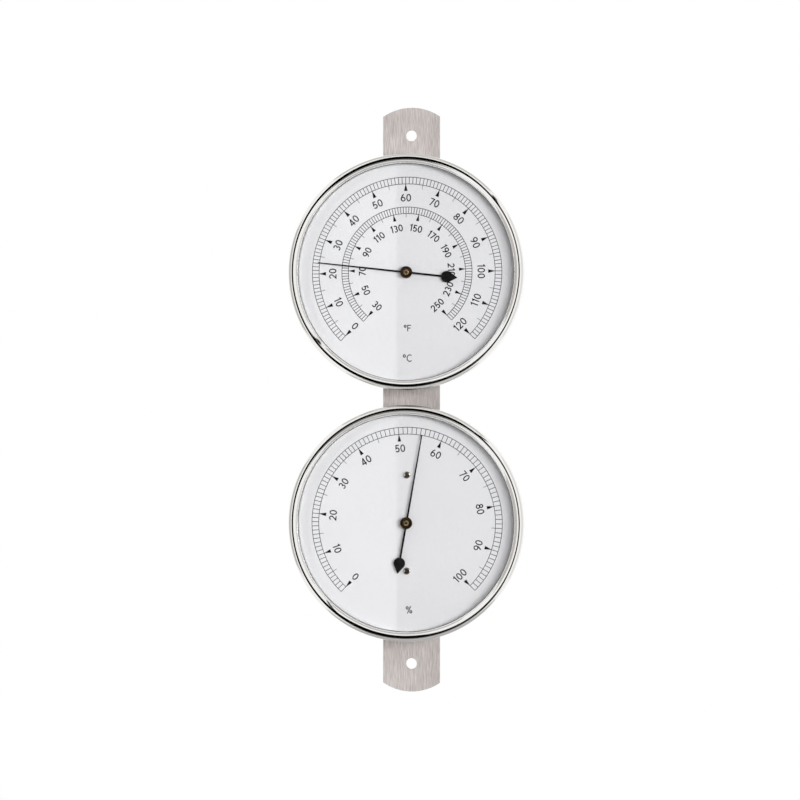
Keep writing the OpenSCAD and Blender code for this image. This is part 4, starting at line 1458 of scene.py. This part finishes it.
@dataclass
class Studio:
    """Camera, lamps, world, floor and the cards that the polished bezels mirror; lengths are in metres.

    Attributes:
        target: Middle of the object's front.
        azimuth: Camera's angle round the object, towards +X, in degrees.
        distance: Camera's distance.
        lens: Focal length in mm on a 36 mm sensor.
        aside: Camera's move to the left along the picture.
        down: Camera's move downwards.
        soft: Strength of the light from all round.
        floor_r: Radius of the floor.
        floor_z: Its height.
        flag_x: Sides of the flag; the first is the edge that ends the small lamp's light on the dials.
        flag_y: Its place before the wall.
        flag_z: Its lower and upper edge.
        lamps: The lamps.
        cards: The cards and walls.
    """

    target: Vector = field(default_factory=lambda: Vector((0.0, -0.025, -0.1151)))
    azimuth: float = 6.3
    distance: float = 1.25
    lens: float = 130.4
    aside: float = 0.0024
    down: float = 0.00105
    soft: float = 0.29
    floor_r: float = 0.3
    floor_z: float = -0.465
    flag_x: Pair = (-0.3174, -0.27)
    flag_y: float = -0.467
    flag_z: Pair = (-0.14, 0.05)
    lamps: tuple[Lamp, ...] = (
        Lamp("key_right", (0.76, -1.46, -0.03), power=21.9, size=(1.0, 0.42)),
        Lamp("fill_left", (-0.80, -1.00, 0.90), power=1.6, size=(0.6, 0.6)),
        Lamp("small_left", (-0.90, -1.30, 0.10), power=13.0),
    )
    cards: tuple[Card, ...] = (
        Card("dark_room", (0.01, -1.265, -0.115), (0.64, 1.75), "050505", square=True),
        Card("grey_table", (0.05, -1.10, -0.90), (1.1, 0.64), "8c8a88", square=True),
        Card("lamp_boom", (0.55, -0.94, 0.535), (0.07, 1.5), "060606", roll=55.6),
        Card("left_wall", (-1.9, -0.5, -0.1), (2.6, 1.8), "c4c1bd"),
        Card("right_wall", (1.9, 0.25, -0.1), (2.2, 2.6), "e8e7e5"),
        Card("ceiling", (0.0, 0.1, 1.8), (3.2, 2.4), "cfcdca"),
    )

    def camera(self) -> None:
        """Places the camera as in the photograph."""
        angle = radians(self.azimuth)
        away = Vector((sin(angle), -cos(angle), 0.0))
        right = Vector((cos(angle), sin(angle), 0.0))
        data = bpy.data.cameras.new("camera")
        data.sensor_width = 36.0
        data.lens = self.lens
        data.clip_start = 0.01
        obj = placed("camera", data)
        obj.location = self.target + away * self.distance - right * self.aside - Vector((0, 0, self.down))
        obj.rotation_euler = (-away).to_track_quat("-Z", "Y").to_euler()
        bpy.context.scene.camera = obj

    def world(self) -> None:
        """Lights the object from all round, and shows white behind it and in glass and metal."""
        world = bpy.data.worlds.new("studio_world")
        bpy.context.scene.world = world
        world.use_nodes = True
        tree = world.node_tree
        tree.nodes.clear()
        rays = add_node(tree, "ShaderNodeLightPath").outputs
        seen = reckon(tree, "MAXIMUM", rays["Is Camera Ray"], rays["Is Glossy Ray"])
        seen = reckon(tree, "MAXIMUM", seen, rays["Is Transmission Ray"])
        direct = reckon(tree, "LESS_THAN", rays["Diffuse Depth"], 0.5)
        seen = reckon(tree, "MULTIPLY", seen, direct)
        soft = add_node(tree, "ShaderNodeBackground", Color=linear("fefeff"), Strength=self.soft).outputs[0]
        white = add_node(tree, "ShaderNodeBackground", Color=linear("ffffff"), Strength=1.0).outputs[0]
        mixed = add_node(tree, "ShaderNodeMixShader", in_0=seen, in_1=soft, in_2=white).outputs[0]
        add_node(tree, "ShaderNodeOutputWorld", Surface=mixed)

    def floor(self, sides: int = 96) -> None:
        """Lays a small pale floor below the object.

        Args:
            sides: Number of points round its edge.
        """
        turns = [2 * pi * k / sides for k in range(sides)]
        ring = [(self.floor_r * cos(a), self.floor_r * sin(a), self.floor_z) for a in turns]
        mesh = mesh_of("studio_floor", ring, [tuple(range(sides))])
        floor = placed("studio_floor", mesh)
        mesh.materials.append(FLOOR_PAINT.build())

    def flag(self) -> None:
        """Hangs a flag whose edge cuts the small lamp's light off down both dials."""
        (left, right), (low, high), front = self.flag_x, self.flag_z, self.flag_y
        corners = [(left, front, low), (right, front, low), (right, front, high), (left, front, high)]
        mesh = mesh_of("lamp_flag", corners, [(0, 1, 2, 3)])
        flag = placed("lamp_flag", mesh)
        mesh.materials.append(FELT.build())
        hide(flag, "camera", "diffuse", "glossy", "transmission", "volume_scatter")

    def build(self) -> None:
        """Sets up the whole studio."""
        bpy.context.scene.view_settings.view_transform = "Standard"
        self.camera()
        self.world()
        self.floor()
        for lamp in self.lamps:
            lamp.build(self.target)
        self.flag()
        for card in self.cards:
            card.build(self.target)


# Scales of the two dials

CELSIUS = Scale(
    "celsius",
    spans=(Span(0, 120, angle=225.7, step=2.25),),
    rows=Rows(
        inner=38.35, outer=41.27, pale_end=36.5, wedge_base=35.3, wedge_tip=37.9, wedge_w=1.55,
        labels=32.35, height=3.3,
    ),
    fine=1,
    pale=(5, 10),
    bold=(0, 10),
    flipped=(0, 10, 110, 120),
)
FAHRENHEIT = Scale(
    "fahrenheit",
    spans=(Span(30, 250, angle=228.2, step=1.25),),
    rows=Rows(
        inner=25.5, outer=28.35, pale_end=23.9, wedge_base=22.7, wedge_tip=25.05, wedge_w=1.4,
        labels=19.4, height=3.0,
    ),
    fine=2,
    pale=(40, 20),
    bold=(30, 20),
    flipped=(30, 50, 230, 250),
)
HUMIDITY = Scale(
    "humidity",
    spans=(
        Span(0, 30, angle=226.24, step=2.60),
        Span(30, 40, angle=148.24, step=2.498),
        Span(40, 90, angle=123.26, step=2.809),
        Span(90, 100, angle=-17.19, step=2.727),
    ),
    rows=Rows(
        inner=38.5, outer=41.45, pale_end=36.65, wedge_base=35.4, wedge_tip=38.0, wedge_w=1.55,
        labels=32.4, height=3.3,
    ),
    fine=1,
    pale=(5, 10),
    bold=(0, 10),
    flipped=(0, 10, 90, 100),
)


def main() -> None:
    """Builds every sub-assembly in order."""
    logging.basicConfig(level=logging.INFO, format="%(name)s %(message)s")
    Studio().build()
    Dressing().build()
    Hardware().build()
    fahrenheit_mark, celsius_mark = ("oF", (0.30, -24.1), 2.82), ("oC", (0.35, -37.1), 3.25)
    humidity_mark = ("%", (0.93, -37.6), 3.1)
    DialPrint(Gauge.THERMOMETER, (CELSIUS, FAHRENHEIT), (fahrenheit_mark, celsius_mark)).build()
    DialPrint(Gauge.HYGROMETER, (HUMIDITY,), (humidity_mark,)).build()
    GaugeFront(Gauge.THERMOMETER, "temperature_pointer").build()
    GaugeFront(Gauge.HYGROMETER, "humidity_pointer").build()


if __name__ == "__main__":
    main()
